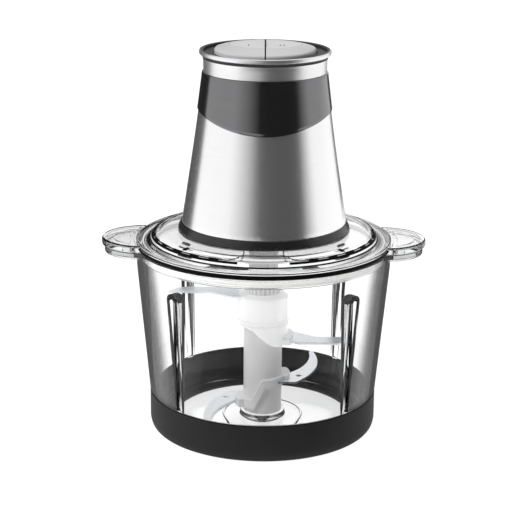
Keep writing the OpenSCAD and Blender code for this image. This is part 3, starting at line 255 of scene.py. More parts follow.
uprightTilt = (0.35, 0.8)    # how far a face leans, from fully upright to not upright
looks = {
    "clearBowl": (clearFinish, {
        "ior": 1.48, "specular": 0.12, "tint": 0.25, "haze": 30.0, "rough": (0.0, 0.01),
        "edge": (0.5, 0.74, 0.95), "rim": (0.52, 0.76, 0.95), "rimDark": 0.08,    # painted shade: turn from and to, how dark
        "ridge": ((0.22, 0.5), 0.98), "ridgeProud": (0.6, 1.2),    # painted shade on the flutes' flanks, inside the wall
        "wallAt": ((83.8, 33.0), (94.0, 130.3)),    # the wall's radius and height, low and high
        "bands": [(118.0, 127.5, 0.98, (0.2, 0.35))],    # painted shade on the flutes' round tops
        "wave": 9.0, "waveDeep": 0.02, "soak": 13.0, "soakColor": (0.25, 0.27, 0.28),
    }),
    "clearLid": (clearFinish, {
        "ior": 1.5, "specular": 0.4, "tint": 0.7, "haze": 40.0, "rough": (0.0, 0.01),
        # painted shade on upright faces' edges and rim
        "edge": (0.85, 1.0, 0.6), "rim": (0.82, 0.94, 0.9), "rimDark": 0.04,
        "bands": [(149.3, 149.9, 0.6, (0.8, 0.5))],    # painted shade in a thin band: from and to in millimetres, how dark, and the tilt
        "wave": 11.0, "waveDeep": 0.01, "soak": 4.0, "soakColor": (0.2, 0.22, 0.22),
    }),
    "ringRubber": (plasticFinish, {
        "dark": (0.017, 0.017, 0.018), "light": (0.023, 0.023, 0.024), "rough": (0.55, 0.72),
        "specular": 0.15, "grainDeep": 0.05,
    }),
    "brushedSteel": (metalFinish, {
        "dark": (0.86, 0.86, 0.87), "light": (0.96, 0.96, 0.97), "rough": (0.17, 0.25),
        "anisotropic": 0.4, "stretch": (1, 1, 40), "brush": 60.0, "brushDeep": 0.002, "metallic": 0.96,
    }),
    # painted shade: a darker copy of the ring's rubber for its inner wall and top edge
    "ringInside": (plasticFinish, {
        "dark": (0.004, 0.004, 0.004), "light": (0.009, 0.009, 0.009), "rough": (0.6, 0.75),
        "specular": 0.05, "grainDeep": 0.05,
    }),
    "collarSteel": (metalFinish, {
        "dark": (0.8, 0.8, 0.81), "light": (0.9, 0.9, 0.91), "rough": (0.3, 0.38),
        "stretch": (1, 1, 30), "brush": 60.0, "brushDeep": 0.001, "metallic": 0.96,
    }),
    "glossBlack": (metalFinish, {
        "dark": (0.19, 0.19, 0.195), "light": (0.215, 0.215, 0.22), "rough": (0.14, 0.18),
        "stretch": (1, 1, 6), "brush": 40.0, "brushDeep": 0.0005, "anisotropic": 0.3,
    }),
    "coverBlack": (plasticFinish, {
        "dark": (0.01, 0.01, 0.011), "light": (0.018, 0.018, 0.019), "rough": (0.22, 0.32),
        "grainDeep": 0.004,
    }),
    "deckGrey": (plasticFinish, {
        "dark": (0.035, 0.035, 0.036), "light": (0.045, 0.045, 0.046), "rough": (0.4, 0.5), "specular": 0.1,
    }),
    "buttonFace": (plasticFinish, {
        "dark": (0.26, 0.26, 0.265), "light": (0.3, 0.3, 0.305), "rough": (0.35, 0.45), "specular": 0.3,
    }),
    "buttonSilver": (plasticFinish, {
        "dark": (0.68, 0.68, 0.69), "light": (0.74, 0.74, 0.75), "rough": (0.3, 0.38), "specular": 0.4,
    }),
    "buttonMark": (plasticFinish, {
        "dark": (0.1, 0.1, 0.1), "light": (0.14, 0.14, 0.14), "rough": (0.4, 0.5),
    }),
    # painted shade: near-black faces for the dark lines that refraction shows in the clear bowl and lid
    "darkLine": (plasticFinish, {
        "dark": (0.002, 0.002, 0.002), "light": (0.006, 0.006, 0.006), "rough": (0.5, 0.6), "specular": 0.05,
    }),
    # painted light: the hub, tower and collar plastics glow
    "milkyHub": (plasticFinish, {
        "dark": (0.93, 0.93, 0.93), "light": (0.97, 0.97, 0.97), "rough": (0.12, 0.2),
        "clear": 0.5, "glow": 0.16,
    }),
    "towerPlastic": (plasticFinish, {
        "dark": (0.72, 0.72, 0.72), "light": (0.8, 0.8, 0.8), "rough": (0.25, 0.36), "glow": 0.02,
    }),
    "collarPlastic": (plasticFinish, {
        "dark": (0.9, 0.9, 0.9), "light": (0.94, 0.94, 0.94), "rough": (0.18, 0.28), "glow": 0.08,
    }),
    "bladeSteel": (metalFinish, {
        "dark": (0.76, 0.79, 0.82), "light": (0.86, 0.88, 0.9), "rough": (0.22, 0.34),
        "brush": 120.0, "stretch": (1, 14, 1),
    }),
    "plainSteel": (metalFinish, {
        "dark": (0.55, 0.55, 0.57), "light": (0.7, 0.7, 0.72), "rough": (0.25, 0.4),
    }),
    "lamination": (metalFinish, {
        "dark": (0.14, 0.14, 0.15), "light": (0.24, 0.24, 0.25), "rough": (0.45, 0.6),
        "brush": 2.0, "stretch": (1, 1, 600), "brushDeep": 0.1,
    }),
    "copper": (metalFinish, {
        "dark": (0.5, 0.2, 0.08), "light": (0.75, 0.36, 0.16), "rough": (0.25, 0.4),
        "brush": 30.0, "stretch": (1, 1, 40), "brushDeep": 0.15,
    }),
    "bronze": (metalFinish, {
        "dark": (0.42, 0.26, 0.12), "light": (0.56, 0.38, 0.18), "rough": (0.4, 0.55),
    }),
    "castAlloy": (metalFinish, {
        "dark": (0.46, 0.47, 0.49), "light": (0.6, 0.61, 0.63), "rough": (0.45, 0.6),
        "brush": 500.0, "stretch": (1, 1, 1), "brushDeep": 0.06,
    }),
    "gearPlastic": (plasticFinish, {
        "dark": (0.68, 0.64, 0.52), "light": (0.78, 0.74, 0.62), "rough": (0.35, 0.5),
    }),
    # painted light: the seal glows
    "sealRubber": (plasticFinish, {
        "dark": (0.9, 0.9, 0.89), "light": (0.94, 0.94, 0.93), "rough": (0.5, 0.62), "glow": 0.15,
    }),
    "blackRubber": (plasticFinish, {
        "dark": (0.012, 0.012, 0.012), "light": (0.028, 0.028, 0.028), "rough": (0.5, 0.68),
    }),
    "boardGreen": (plasticFinish, {
        "dark": (0.01, 0.07, 0.03), "light": (0.03, 0.16, 0.07), "rough": (0.3, 0.45),
    }),
    "carbon": (plasticFinish, {
        "dark": (0.014, 0.014, 0.016), "light": (0.04, 0.04, 0.045), "rough": (0.6, 0.8),
    }),
    "brushBrass": (metalFinish, {
        "dark": (0.5, 0.36, 0.13), "light": (0.68, 0.5, 0.22), "rough": (0.3, 0.45),
    }),
    "phenolic": (plasticFinish, {
        "dark": (0.2, 0.1, 0.045), "light": (0.33, 0.18, 0.09), "rough": (0.4, 0.6),
    }),
}
finish = {name: make(name, look) for name, (make, look) in looks.items()}
print("finishes made")


# What each CAD node is finished with
finishOf = {
    "clearBowl": ["bowl"],
    "clearLid": ["lid"],
    "ringRubber": ["base_ring"],
    "brushedSteel": ["housing_sleeve", "top_collar"],
    "glossBlack": ["shoulder_band"],
    "coverBlack": ["base_cover", "chassis", "speed_switches", "cooling_fan"],
    "deckGrey": ["deck_plate"],
    "buttonSilver": ["button_left", "button_right"],
    "towerPlastic": ["blade_tower"],
    "collarPlastic": ["blade_collar", "drive_coupling"],
    "bladeSteel": ["lower_blade_left", "lower_blade_right", "upper_blade_left", "upper_blade_right"],
    "plainSteel": [
        "bowl_spindle", "lower_bearing", "upper_bearing", "brush_springs", "cover_screws",
        "gear_screws", "motor_bolts", "button_spring_left", "button_spring_right", "motor_shaft",
        "sun_pinion", "planet_carrier", "planet_pins", "carrier_ring", "output_shaft",
    ],
    "lamination": ["stator_core", "armature_core"],
    "copper": ["field_coils", "armature_windings", "commutator"],
    "bronze": ["output_bush", "tower_bush"],
    "castAlloy": ["gear_case", "gear_cover", "bearing_bridge"],
    "gearPlastic": ["ring_gear", "planet_gear_1", "planet_gear_2", "planet_gear_3"],
    "sealRubber": ["lid_seal"],
    "blackRubber": ["output_seal", "cord_gland", "motor_dampers"],
    "boardGreen": ["circuit_board"],
    "carbon": ["carbon_brushes"],
    "brushBrass": ["brush_holders"],
    "phenolic": ["brush_plate"],
}
for name, members in finishOf.items():
    for member in members:
        nodes[member].data.materials.clear()
        nodes[member].data.materials.append(finish[name])


# Mesh helpers: an outline is a list of (radius, height, rounding), and the rounding may be left out
def soften(points, closed, steps=6):
    out = []
    count = len(points)
    for i, point in enumerate(points):
        here = Vector(point[:2])
        cut = point[2] if len(point) > 2 else 0
        atEnd = not closed and i in (0, count - 1)
        if cut == 0 or atEnd:
            out.append(here)
            continue
        before = Vector(points[i - 1][:2])
        after = Vector(points[(i + 1) % count][:2])
        start = here + (before - here).normalized() * cut
        end = here + (after - here).normalized() * cut
        for k in range(steps + 1):
            t = k / steps
            out.append(start * (1 - t) ** 2 + here * 2 * t * (1 - t) + end * t ** 2)
    return out


def refine(points, step, closed):
    out = []
    count = len(points)
    last = count if closed else count - 1
    for i in range(last):
        a = points[i]
        b = points[(i + 1) % count]
        parts = max(1, math.ceil((b - a).length / step))
        out.extend(a.lerp(b, k / parts) for k in range(parts))
    if not closed:
        out.append(points[-1])
    return out


def onAxis(angle, radius, height):
    return (radius * math.sin(angle), -radius * math.cos(angle), height)


def spin(name, outline, columns=256, place=onAxis):
    touches = outline[0][0] < 1e-9
    verts = []
    faces = []
    inner = outline[1:-1] if touches else outline
    rows = len(inner)
    for c in range(columns):
        angle = fullTurn * c / columns
        verts.extend(place(angle, p[0], p[1]) for p in inner)
    for c in range(columns):
        here = c * rows
        there = ((c + 1) % columns) * rows
        for i in range(rows if not touches else rows - 1):
            k = (i + 1) % rows
            faces.append((here + i, there + i, there + k, here + k))
    if touches:
        verts.append(place(0.0, 0.0, outline[0][1]))
        verts.append(place(0.0, 0.0, outline[-1][1]))
        low = len(verts) - 2
        high = len(verts) - 1
        for c in range(columns):
            here = c * rows
            there = ((c + 1) % columns) * rows
            faces.append((low, there, here))
            faces.append((high, here + rows - 1, there + rows - 1))
    return meshObject(name, verts, faces)


def meshObject(name, verts, faces, sharp=32):
    mesh = bpy.data.meshes.new(name)
    mesh.from_pydata(verts, [], faces)
    work = bmesh.new()
    work.from_mesh(mesh)
    bmesh.ops.remove_doubles(work, verts=work.verts, dist=1e-7)
    bmesh.ops.recalc_face_normals(work, faces=work.faces)
    work.to_mesh(mesh)
    work.free()
    obj = bpy.data.objects.new(name, mesh)
    scene.collection.objects.link(obj)
    smooth(obj, sharp)
    return obj


def smooth(obj, sharp=32):
    obj.data.polygons.foreach_set("use_smooth", [True] * len(obj.data.polygons))
    obj.data.set_sharp_from_angle(angle=math.radians(sharp))
    obj.data.update()


def carve(obj, tool, how):
    step = obj.modifiers.new("step", "BOOLEAN")
    step.operation = how
    step.solver = "MANIFOLD"
    step.object = tool
    bpy.context.view_layer.update()
    graph = bpy.context.evaluated_depsgraph_get()
    cut = bpy.data.meshes.new_from_object(obj.evaluated_get(graph))
    obj.modifiers.clear()
    obj.data = cut
    bpy.data.objects.remove(tool)
    smooth(obj)
    return obj


def dress(obj, look, body, *replaced):
    obj.data.materials.clear()
    obj.data.materials.append(finish[look])
    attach(obj, body)
    if replaced:
        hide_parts(*replaced)


# A turned piece from an outline in millimetres; an outline that leaves the axis is closed by it
def turned(name, outline, step=5, columns=256, place=onAxis):
    points = [tuple(value * mm for value in point) for point in outline]
    closed = points[0][0] > 1e-9
    return spin(name, refine(soften(points, closed), step * mm, closed), columns, place)


# A round piece that stands beside the axis
def earDisc(name, centre, outline, step):
    def place(angle, radius, height):
        return (centre * mm + radius * math.sin(angle), -radius * math.cos(angle), height)
    return turned(name, outline, step, 128, place)


def prismPart(outline, low, high):
    count = len(outline)
    verts = [(x * mm, y * mm, z * mm) for z in (low, high) for x, y in outline]
    faces = [tuple(range(count)), tuple(range(count, 2 * count))]
    faces += [(i, (i + 1) % count, count + (i + 1) % count, count + i) for i in range(count)]
    return verts, faces


def prism(name, outline, low, high):
    return meshObject(name, *prismPart(outline, low, high))


def arc(x, y, radius, start, end, steps):
    turns = [math.radians(start + (end - start) * k / steps) for k in range(steps + 1)]
    return [(x + radius * math.cos(t), y + radius * math.sin(t)) for t in turns]


def disc(name, x, y, radius, low, high, steps=96):
    return prism(name, arc(x, y, radius, 0, 360 - 360 / steps, steps - 1), low, high)


# An upright round-topped bar that runs outwards from a rounded inner edge
def archBar(half, low, top, outer, centre, steps=9, sides=12):
    stations = [(outer, half)]
    for k in range(steps):
        turn = math.radians(84) * k / (steps - 1)
        stations.append((centre - half * math.sin(turn), half * math.cos(turn)))
    verts = []
    for reach, wide in stations:
        ring = [(-wide, low), (wide, low)]
        for k in range(sides + 1):
            turn = math.pi * k / sides
            ring.append((wide * math.cos(turn), top + wide * math.sin(turn)))
        verts.extend((side * mm, -reach * mm, height * mm) for side, height in ring)
    rows = sides + 3
    faces = [tuple(range(rows))]
    for s in range(len(stations) - 1):
        for i in range(rows):
            k = (i + 1) % rows
            faces.append((s * rows + i, s * rows + k, (s + 1) * rows + k, (s + 1) * rows + i))
    faces.append(tuple(range((len(stations) - 1) * rows, len(stations) * rows)))
    return verts, faces


def repeated(name, part, turns):
    verts, faces = part
    allVerts = []
    allFaces = []
    for turn in turns:
        spinBy = Matrix.Rotation(math.radians(turn), 4, "Z")
        base = len(allVerts)
        allVerts.extend(tuple(spinBy @ Vector(v)) for v in verts)
        allFaces.extend(tuple(base + i for i in face) for face in faces)
    return meshObject(name, allVerts, allFaces)


# Bowl: a tapered clear tub with four hollow flutes inside and an ear at each side, in millimetres
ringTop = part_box("base_ring")[1].z / mm
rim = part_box("bowl")[1]
bowl = {
    "rimZ": rim.z / mm,
    "rimR": rim.y / mm,
    "skirt": 15.0,        # the nearly straight part under the rim
    "wall": 3.2,
    "footR": 88.0,
    "footInner": 83.8,
    "lowR": 85.7,
    "lowZ": 3.02,
    "floorZ": 6.6,
    "floorRing": (29.5, 31.5, 0.35),    # radii, and how proud it is
    "bossR": 17.5,
    "bossZ": 10.2,
    "shaftR": 4.03,
    "shaftZ": 4.0,
    "fluteR": 6.0,
    "grooveR": 3.2,
    "fluteX": 89.1,
    "fluteTop": rim.z / mm - 26,
    "ridgeOut": 105.0,    # the tools of ridges and grooves end outside the wall
    "grooveOut": 110.0,
    "lineProud": 0.9,
    "lineTurn": (0.45, 0.75),    # how far a face painted dark as shade may look outwards, on the flanks and on the tops
    "earX": 92.5,
    "earR": 29.5,
    "earT": 5.6,
    "earFit": 0.03,       # between the ear and the wall
    "turns": (45, 135, 225, 315),
}


def bowlOuter(b):
    return [
        (0, b["lowZ"]), (b["lowR"], b["lowZ"], 5), (b["lowR"], ringTop - 0.5, 0.5),
        (b["footR"], ringTop + 0.2, 0.8), (b["rimR"] - 0.3, b["rimZ"] - b["skirt"], 4),
        (b["rimR"], b["rimZ"], 0.8),
    ]


def bowlInner(b):
    inner = b["rimR"] - b["wall"]
    near, far, proud = b["floorRing"]
    floorZ, shaftR, shaftZ = b["floorZ"], b["shaftR"], b["shaftZ"]
    return [
        (inner, b["rimZ"], 0.8), (inner - 0.3, b["rimZ"] - b["skirt"], 4), (b["footInner"], ringTop, 3),
        (b["footInner"] - 1.4, floorZ, 8), (far, floorZ, 0.3), (far - 0.5, floorZ + proud, 0.3),
        (near + 0.5, floorZ + proud, 0.3), (near, floorZ, 0.3), (b["bossR"], floorZ, 1),
        (b["bossR"], b["bossZ"], 0.6), (shaftR, b["bossZ"]), (shaftR, shaftZ), (0, shaftZ),
    ]


def makeBowl(b):
    shell = turned("clearBowl", bowlOuter(b) + bowlInner(b), 6)
    solid = turned("solidBowl", bowlOuter(b) + [(0, b["rimZ"])], 6)
    ridges = archBar(b["fluteR"], b["floorZ"] - 1, b["fluteTop"], b["ridgeOut"], b["fluteX"])
    carve(shell, carve(repeated("ridges", ridges, b["turns"]), solid, "INTERSECT"), "UNION")
    grooves = archBar(b["grooveR"], ringTop + 0.6, b["fluteTop"], b["grooveOut"], b["fluteX"])
    carve(shell, repeated("grooves", grooves, b["turns"]), "DIFFERENCE")
    dress(shell, "clearBowl", "bowl_body", "bowl")
    paintFluteShade(shell, b)


# Painted shade: the flutes' flanks and tops get near-black faces, for how nearly black they look through the
# plastic
def paintFluteShade(shell, b):
    shell.data.materials.append(finish["darkLine"])
    slope = (b["rimR"] - b["wall"] - b["footInner"]) / (b["rimZ"] - b["skirt"] - ringTop)
    flank, top = b["lineTurn"]
    for face in shell.data.polygons:
        x, y, z = [value / mm for value in face.center]
        reach = math.hypot(x, y)
        if reach < b["footInner"] / 2 or z < b["floorZ"] + 2:
            continue
        proud = b["footInner"] + slope * (z - ringTop) - reach
        outward = abs(face.normal.x * x + face.normal.y * y) / reach
        if proud > b["lineProud"] and outward < (top if z > b["fluteTop"] else flank):
            face.material_index = 1


def makeBowlEars(b):
    low = b["rimZ"] - b["earT"]
    high = b["rimZ"] - 0.15
    wall = b["rimR"] + b["earFit"]
    for side, word in ((-1, "Left"), (1, "Right")):
        ear = earDisc("bowlEar" + word, side * b["earX"], [
            (0, low + 1.2), (b["earR"] - 3.5, low + 1.2, 1), (b["earR"] - 3, low, 0.8),
            (b["earR"], low, 1.3), (b["earR"], high, 1.3), (0, high),
        ], 8)
        plug = turned("wallPlug", [(0, low - 9), (wall, low - 9), (wall, high + 9), (0, high + 9)], 200)
        carve(ear, plug, "DIFFERENCE")
        dress(ear, "clearBowl", "bowl_body")


makeBowl(bowl)
makeBowlEars(bowl)
print("bowl made")


# Lid: a flat-topped dome with a sunk panel at each side, a plug, a drive tube and two tabs
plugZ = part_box("lid")[0].z / mm
lid = {
    "top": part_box("lid")[1].z / mm,
    "plugZ": plugZ,
    "flangeZ": plugZ + 8,
    "rimR": rim.y / mm,
    "footR": 86.8,
    "under": 154.4,
    "seatR": 66.0,
    "seatZ": 157.0,
    "tubeR": 16.2,
    "tubeOut": 18.8,
    "tubeZ": 139.7,
    "panelR": 84.0,
    "panelDeep": 0.7,
    "bridge": 14.4,
    "corner": 9.0,
    "markAt": (57.0, -56.5),
    "tabX": 92.5,
    "tabR": 31.5,
    "tabT": 5.4,
    "rimLines": ((0.1, 3.3), (3.9, 4.5)),    # heights above the flange painted dark as shade
    # the dome's foot, painted dark as shade between these heights above the flange
    "footLine": (5.42, 6.5),
    "slopeLine": 153.2,   # painted dark as shade from here up to the flat top
    "flatZ": 154.8,
}


# The dome's corners from its foot to its flat top, with a rounding each
def domeCorners(d, drop, roundings):
    foot, top = d["footR"], d["top"]
    corners = [(foot - 2.2, d["flangeZ"] + 10), (foot - 4.8, top - 0.8), (foot - 9, top)]
    return [(r, z - drop, rounding) for (r, z), rounding in zip(corners, roundings)]


def lidLoop(d):
    low, top, foot = d["flangeZ"], d["top"], d["footR"]
    return [
        (d["tubeR"], d["tubeZ"], 0.5), (d["tubeOut"], d["tubeZ"], 0.5), (d["tubeOut"], d["under"], 1.5),
        (foot - 8.1, d["under"], 3), (foot - 4.6, low + 7.5, 2), (foot - 2.6, low + 4, 2.5),
        (90.4, low + 1, 1), (90.4, d["plugZ"], 0.8), (93, d["plugZ"], 0.8), (93, low, 0.3),
        (d["rimR"], low, 0.7), (d["rimR"], low + 1.5), (d["rimR"], low + d["tabT"], 2.2),
        (foot + 0.5, low + d["tabT"], 0.2), (foot + 0.1, low + 6.5), (foot - 0.4, low + 7.4, 0.5),
        (foot - 0.8, low + 8), *domeCorners(d, 0, (2, 2, 2.5)), (d["seatR"], top, 0.3),
        (d["seatR"], d["seatZ"], 0.3), (d["tubeR"], d["seatZ"], 0.4),
    ]


def panelOutline(d):
    midX = d["bridge"] + d["corner"]
    midY = math.sqrt((d["panelR"] - d["corner"]) ** 2 - midX ** 2)
    meet = math.degrees(math.atan2(midY, midX))
    inner = d["seatR"] - 1
    start = math.degrees(math.acos(d["bridge"] / inner))
    return (arc(0, 0, inner, -start, start, 40) + arc(midX, midY, d["corner"], 180, meet, 10)
            + arc(0, 0, d["panelR"], meet, -meet, 90)[1:-1] + arc(midX, -midY, d["corner"], -meet, -180, 10))


# Height of the dome's outside at a radius
def domeZ(d, radius):
    slope = [(r, z) for r, z, _ in reversed(domeCorners(d, 0, (0, 0, 0)))]
    path = [(0, d["top"]), *slope, (d["footR"], d["top"] - 7)]
    for (r1, z1), (r2, z2) in zip(path, path[1:]):
        if r1 <= radius <= r2:
            return z1 + (z2 - z1) * (radius - r1) / (r2 - r1)
    return d["top"]


# A thin closed tube along a closed outline, at the height the surface gives
def tubeAlong(name, outline, heightAt, radius, sides=8):
    count = len(outline)
    verts = []
    for i, (x, y) in enumerate(outline):
        before = Vector(outline[i - 1])
        after = Vector(outline[(i + 1) % count])
        along = (after - before).normalized()
        out = Vector((along.y, -along.x))
        for k in range(sides):
            turn = fullTurn * k / sides
            spot = Vector((x, y)) + out * radius * math.cos(turn)
            verts.append((spot.x * mm, spot.y * mm, (heightAt(x, y) + radius * math.sin(turn)) * mm))
    faces = [(i * sides + k, ((i + 1) % count) * sides + k, ((i + 1) % count) * sides + (k + 1) % sides,
              i * sides + (k + 1) % sides) for i in range(count) for k in range(sides)]
    return meshObject(name, verts, faces)


def makeLid(d):
    shell = turned("clearLid", lidLoop(d), 1.3)
    foot, seat, top = d["footR"], d["seatR"], d["top"] - d["panelDeep"]
    markX, markY = d["markAt"]
    border = []
    for side in (-1, 1):
        outline = [(side * x, y) for x, y in panelOutline(d)]
        border += outline
        panel = prism("panelCut", outline, 150, 160)
        cap = turned("panelCap", [
            (foot - 1.2, 153.2), *domeCorners(d, d["panelDeep"], (1, 1.5, 2.5)),
            (seat - 2, top), (seat - 2, 161), (foot - 1.2, 161),
        ], 4)
        carve(panel, cap, "INTERSECT")
        carve(shell, panel, "DIFFERENCE")
        line = tubeAlong("panelLine", outline, lambda x, y: domeZ(d, math.hypot(x, y)) - 0.7, 0.55)
        carve(shell, line, "DIFFERENCE")
        mark = [(side * (markX + x), markY + y) for x, y in ((-1.9, -1.0), (1.9, -1.0), (0, 1.6))]
        carve(shell, prism("alignMark", mark, 155.6, domeZ(d, 80) - 0.3), "UNION")
    low = d["plugZ"] + 1.4
    groove = turned("sealGroove", [(91.8, low), (94, low), (94, low + 4), (91.8, low + 4)])
    carve(shell, groove, "DIFFERENCE")
    dress(shell, "clearLid", "lid_body", "lid")
    paintLidShade(shell, d, border)


# Painted shade: near-black faces for the dark lines on the rim, the dome's foot and slope, the panels'
# borders and the marks
def paintLidShade(shell, d, border):
    shell.data.materials.append(finish["darkLine"])
    tree = KDTree(len(border))
    for i, (x, y) in enumerate(border):
        tree.insert((x, y, 0), i)
    tree.balance()
    markX, markY = d["markAt"]
    low, high = d["footLine"]
    for face in shell.data.polygons:
        x, y, z = [value / mm for value in face.center]
        reach = math.hypot(x, y)
        up = z - d["flangeZ"]
        if z < d["flatZ"]:
            onRim = reach > d["rimR"] - 0.45 and any(start < up < end for start, end in d["rimLines"])
            onFoot = -0.5 < reach - d["footR"] < 0.7 and low < up < high
            onSlope = reach > d["footR"] - 3.4 and z > d["slopeLine"] and abs(x) > d["bridge"] + 4
            lined = onRim or onFoot or onSlope
        else:
            onBorder = reach > 70 and tree.find((x, y, 0))[2] < 0.8
            lined = onBorder or math.hypot(abs(x) - markX, y - markY) < 2.6
        if lined:
            face.material_index = 1


def makeTabs(d):
    low = d["flangeZ"]
    high = low + d["tabT"]
    radius = d["tabR"]
    for side, word in ((-1, "Left"), (1, "Right")):
        centre = side * d["tabX"]
        outline = [(0, low), (radius, low, 1.2), (radius, high, 1.6), (0, high)]
        tab = earDisc("lidTab" + word, centre, outline, 6)
        tray = disc("tray", centre, 0, radius - 4, high - 1.6, high + 2)
        carve(tray, disc("wall", 0, 0, d["rimR"] + 1.8, high - 3, high + 3, 160), "DIFFERENCE")
        island = disc("island", centre, 0, radius - 9, high - 3, high - 0.5)
        carve(island, disc("wall", 0, 0, d["rimR"] + 5, high - 5, high + 3, 160), "DIFFERENCE")
        carve(tray, island, "DIFFERENCE")
        carve(tab, tray, "DIFFERENCE")
        carve(tab, disc("wall", 0, 0, d["rimR"] + 0.03, low - 5, high + 5, 256), "DIFFERENCE")
        dress(tab, "clearLid", "lid_body")


makeLid(lid)
makeTabs(lid)
for name in ("clearBowl", "bowlEarLeft", "bowlEarRight", "clearLid", "lidTabLeft", "lidTabRight"):
    bpy.data.objects[name].visible_shadow = False    # clear plastic lets the light through
print("lid made")


# Base ring: a rubber tub with a rounded foot and an inner ledge
ring = {"outR": 88.0, "inR": 85.8, "top": ringTop, "ledge": 3.0, "holeR": 70.0}


def makeRing(r):
    piece = turned("rubberRing", [
        (r["holeR"], 0.6), (r["holeR"] + 0.6, 0, 0.4), (74, 0), (74, 0.6), (75.6, 0.6), (75.6, 0), (78, 0),
        (78, 0.6), (79.6, 0.6), (79.6, 0), (r["outR"] - 2.4, 0, 3.5), (r["outR"], 5.5, 3),
        (r["outR"], r["top"] - 0.1, 0.7), (r["inR"], r["top"] - 0.4, 0.5), (r["inR"], r["ledge"], 1.2),
        (r["holeR"], r["ledge"], 0.4),
    ], 4)
    dress(piece, "ringRubber", "bowl_body", "base_ring")
    piece.data.materials.append(finish["ringInside"])    # painted shade: the inner wall and the top edge are darker
    for face in piece.data.polygons:
        x, y, z = [value / mm for value in face.center]
        if (math.hypot(x, y) < r["inR"] + 0.3 and z > 2) or z > r["top"] - 0.55:
            face.material_index = 1


makeRing(ring)
print("base ring made")


# Motor unit: its steel sleeve, black band and steel collar follow one flare
sleeve = {
    "low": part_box("housing_sleeve")[0].z / mm,
    "top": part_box("housing_sleeve")[1].z / mm,
    "lowR": 62.8,
    "topR": 46.2,
    "flare": 0.6,
    "wall": 0.8,
    "glandZ": 176.4,
}
band = {"tall": 39.3, "proud": 1.0, "glue": 0.05, "arc": 110.0}
collar = {"top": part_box("top_collar")[1].z / mm, "lipR": 49.3, "wall": 1.0, "deck": 290.5}
cover = {
    "low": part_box("base_cover")[0].z / mm,
    "outR": 65.5,
    "holeR": 9.0,
    "plate": 3.0,
    "screwR": 55.0,
    "screws": (45, 135, 225, 315),
}


def sleeveR(z):
    up = (z - sleeve["low"]) / (sleeve["top"] - sleeve["low"])
    return sleeve["lowR"] + (sleeve["topR"] - sleeve["lowR"]) * up - 4 * sleeve["flare"] * up * (1 - up)


def makeSleeve(s):
    heights = [s["low"] + (s["top"] - s["low"]) * k / 24 for k in range(25)]
    outline = [(sleeveR(z), z, 0.3 if k in (0, 24) else 0) for k, z in enumerate(heights)]
    outline += [(sleeveR(z) - s["wall"], z) for z in reversed(heights)]
    piece = turned("steelSleeve", outline, 8)
    hole = disc("glandHole", 0, 0, 5.5, 30, 80, 48)
    hole.data.transform(Matrix.Rotation(math.radians(-90), 4, "X"))
    hole.data.transform(Matrix.Translation((0, 0, s["glandZ"] * mm)))
    carve(piece, hole, "DIFFERENCE")
    dress(piece, "brushedSteel", "motor_unit", "housing_sleeve")


# The band's lower edge is one round arc of radius "arc" when seen from the front or the back
def makeBand(b, columns=320, rows=14):
    low = sleeve["top"] - b["tall"]
    verts = []
    for c in range(columns):
        angle = fullTurn * c / columns
        edge = low
        for _ in range(12):
            x = sleeveR(edge) * math.sin(angle)
            edge = low + b["arc"] - math.sqrt(b["arc"] ** 2 - x ** 2)
        tall = sleeve["top"] - edge
        proud = b["proud"]
        path = [(b["glue"], 0), (proud - 0.4, 0), (proud - 0.1, 0.12), (proud, 0.45)]
        path += [(proud, 0.45 + (tall - 0.9) * k / rows) for k in range(1, rows + 1)]
        path += [(proud - 0.1, tall - 0.12), (proud - 0.4, tall), (b["glue"], tall)]
        verts.extend(onAxis(angle, (sleeveR(edge + up) + out) * mm, (edge + up) * mm) for out, up in path)
    count = len(verts) // columns
    faces = [(c * count + i, ((c + 1) % columns) * count + i, ((c + 1) % columns) * count + (i + 1) % count,
              c * count + (i + 1) % count) for c in range(columns) for i in range(count)]
    dress(meshObject("blackBand", verts, faces), "glossBlack", "motor_unit", "shoulder_band")


def makeCollar(c):
    foot = sleeve["topR"]
    low = sleeve["top"] + 0.2
    inner = foot - 0.4 - c["wall"]
    lip = c["lipR"]
    top = c["top"]
    piece = turned("steelCollar", [
        (inner, low, 0.2), (foot, low, 0.3), (foot, low + 8.4, 2), (lip - 2.0, low + 12.4, 1.2),
        (lip - 1.2, top - 3.7, 0.4), (lip - 0.1, top - 3.1, 0.6), (lip, top, 1.4),
        (lip - 3.2, top - 0.5, 0.8), (lip - 3.2, c["deck"], 0.2), (lip - 3.6, c["deck"] - 0.4, 0.2),
        (inner, low + 6.4, 1.5),
    ], 2)
    dress(piece, "collarSteel", "motor_unit", "top_collar")
    piece.data.materials.append(finish["deckGrey"])    # the lip's inner side is grey like the deck
    for face in piece.data.polygons:
        x, y, z = [value / mm for value in face.center]
        if z > c["deck"] - 1 and math.hypot(x, y) < lip - 1.1:
            face.material_index = 1


def makeCover(c):
    low = c["low"]
    high = low + c["plate"]
    ledge = sleeve["lowR"] - 2.8
    piece = turned("blackCover", [
        (c["holeR"], low, 0.3), (c["outR"], low, 0.9), (c["outR"], low + 2.4, 0.8),
        (sleeve["lowR"] + 0.4, sleeve["low"], 0.6), (ledge, sleeve["low"]), (ledge, high, 0.5),
        (c["holeR"], high, 0.3),
    ], 3)
    for turn in c["screws"]:
        x = c["screwR"] * math.cos(math.radians(turn))
        y = c["screwR"] * math.sin(math.radians(turn))
        carve(piece, disc("screwHole", x, y, 1.8, low - 1, high + 1, 32), "DIFFERENCE")
        carve(piece, disc("screwSink", x, y, 3.6, low - 1, low + 1.8, 32), "DIFFERENCE")
    dress(piece, "coverBlack", "motor_unit", "base_cover")


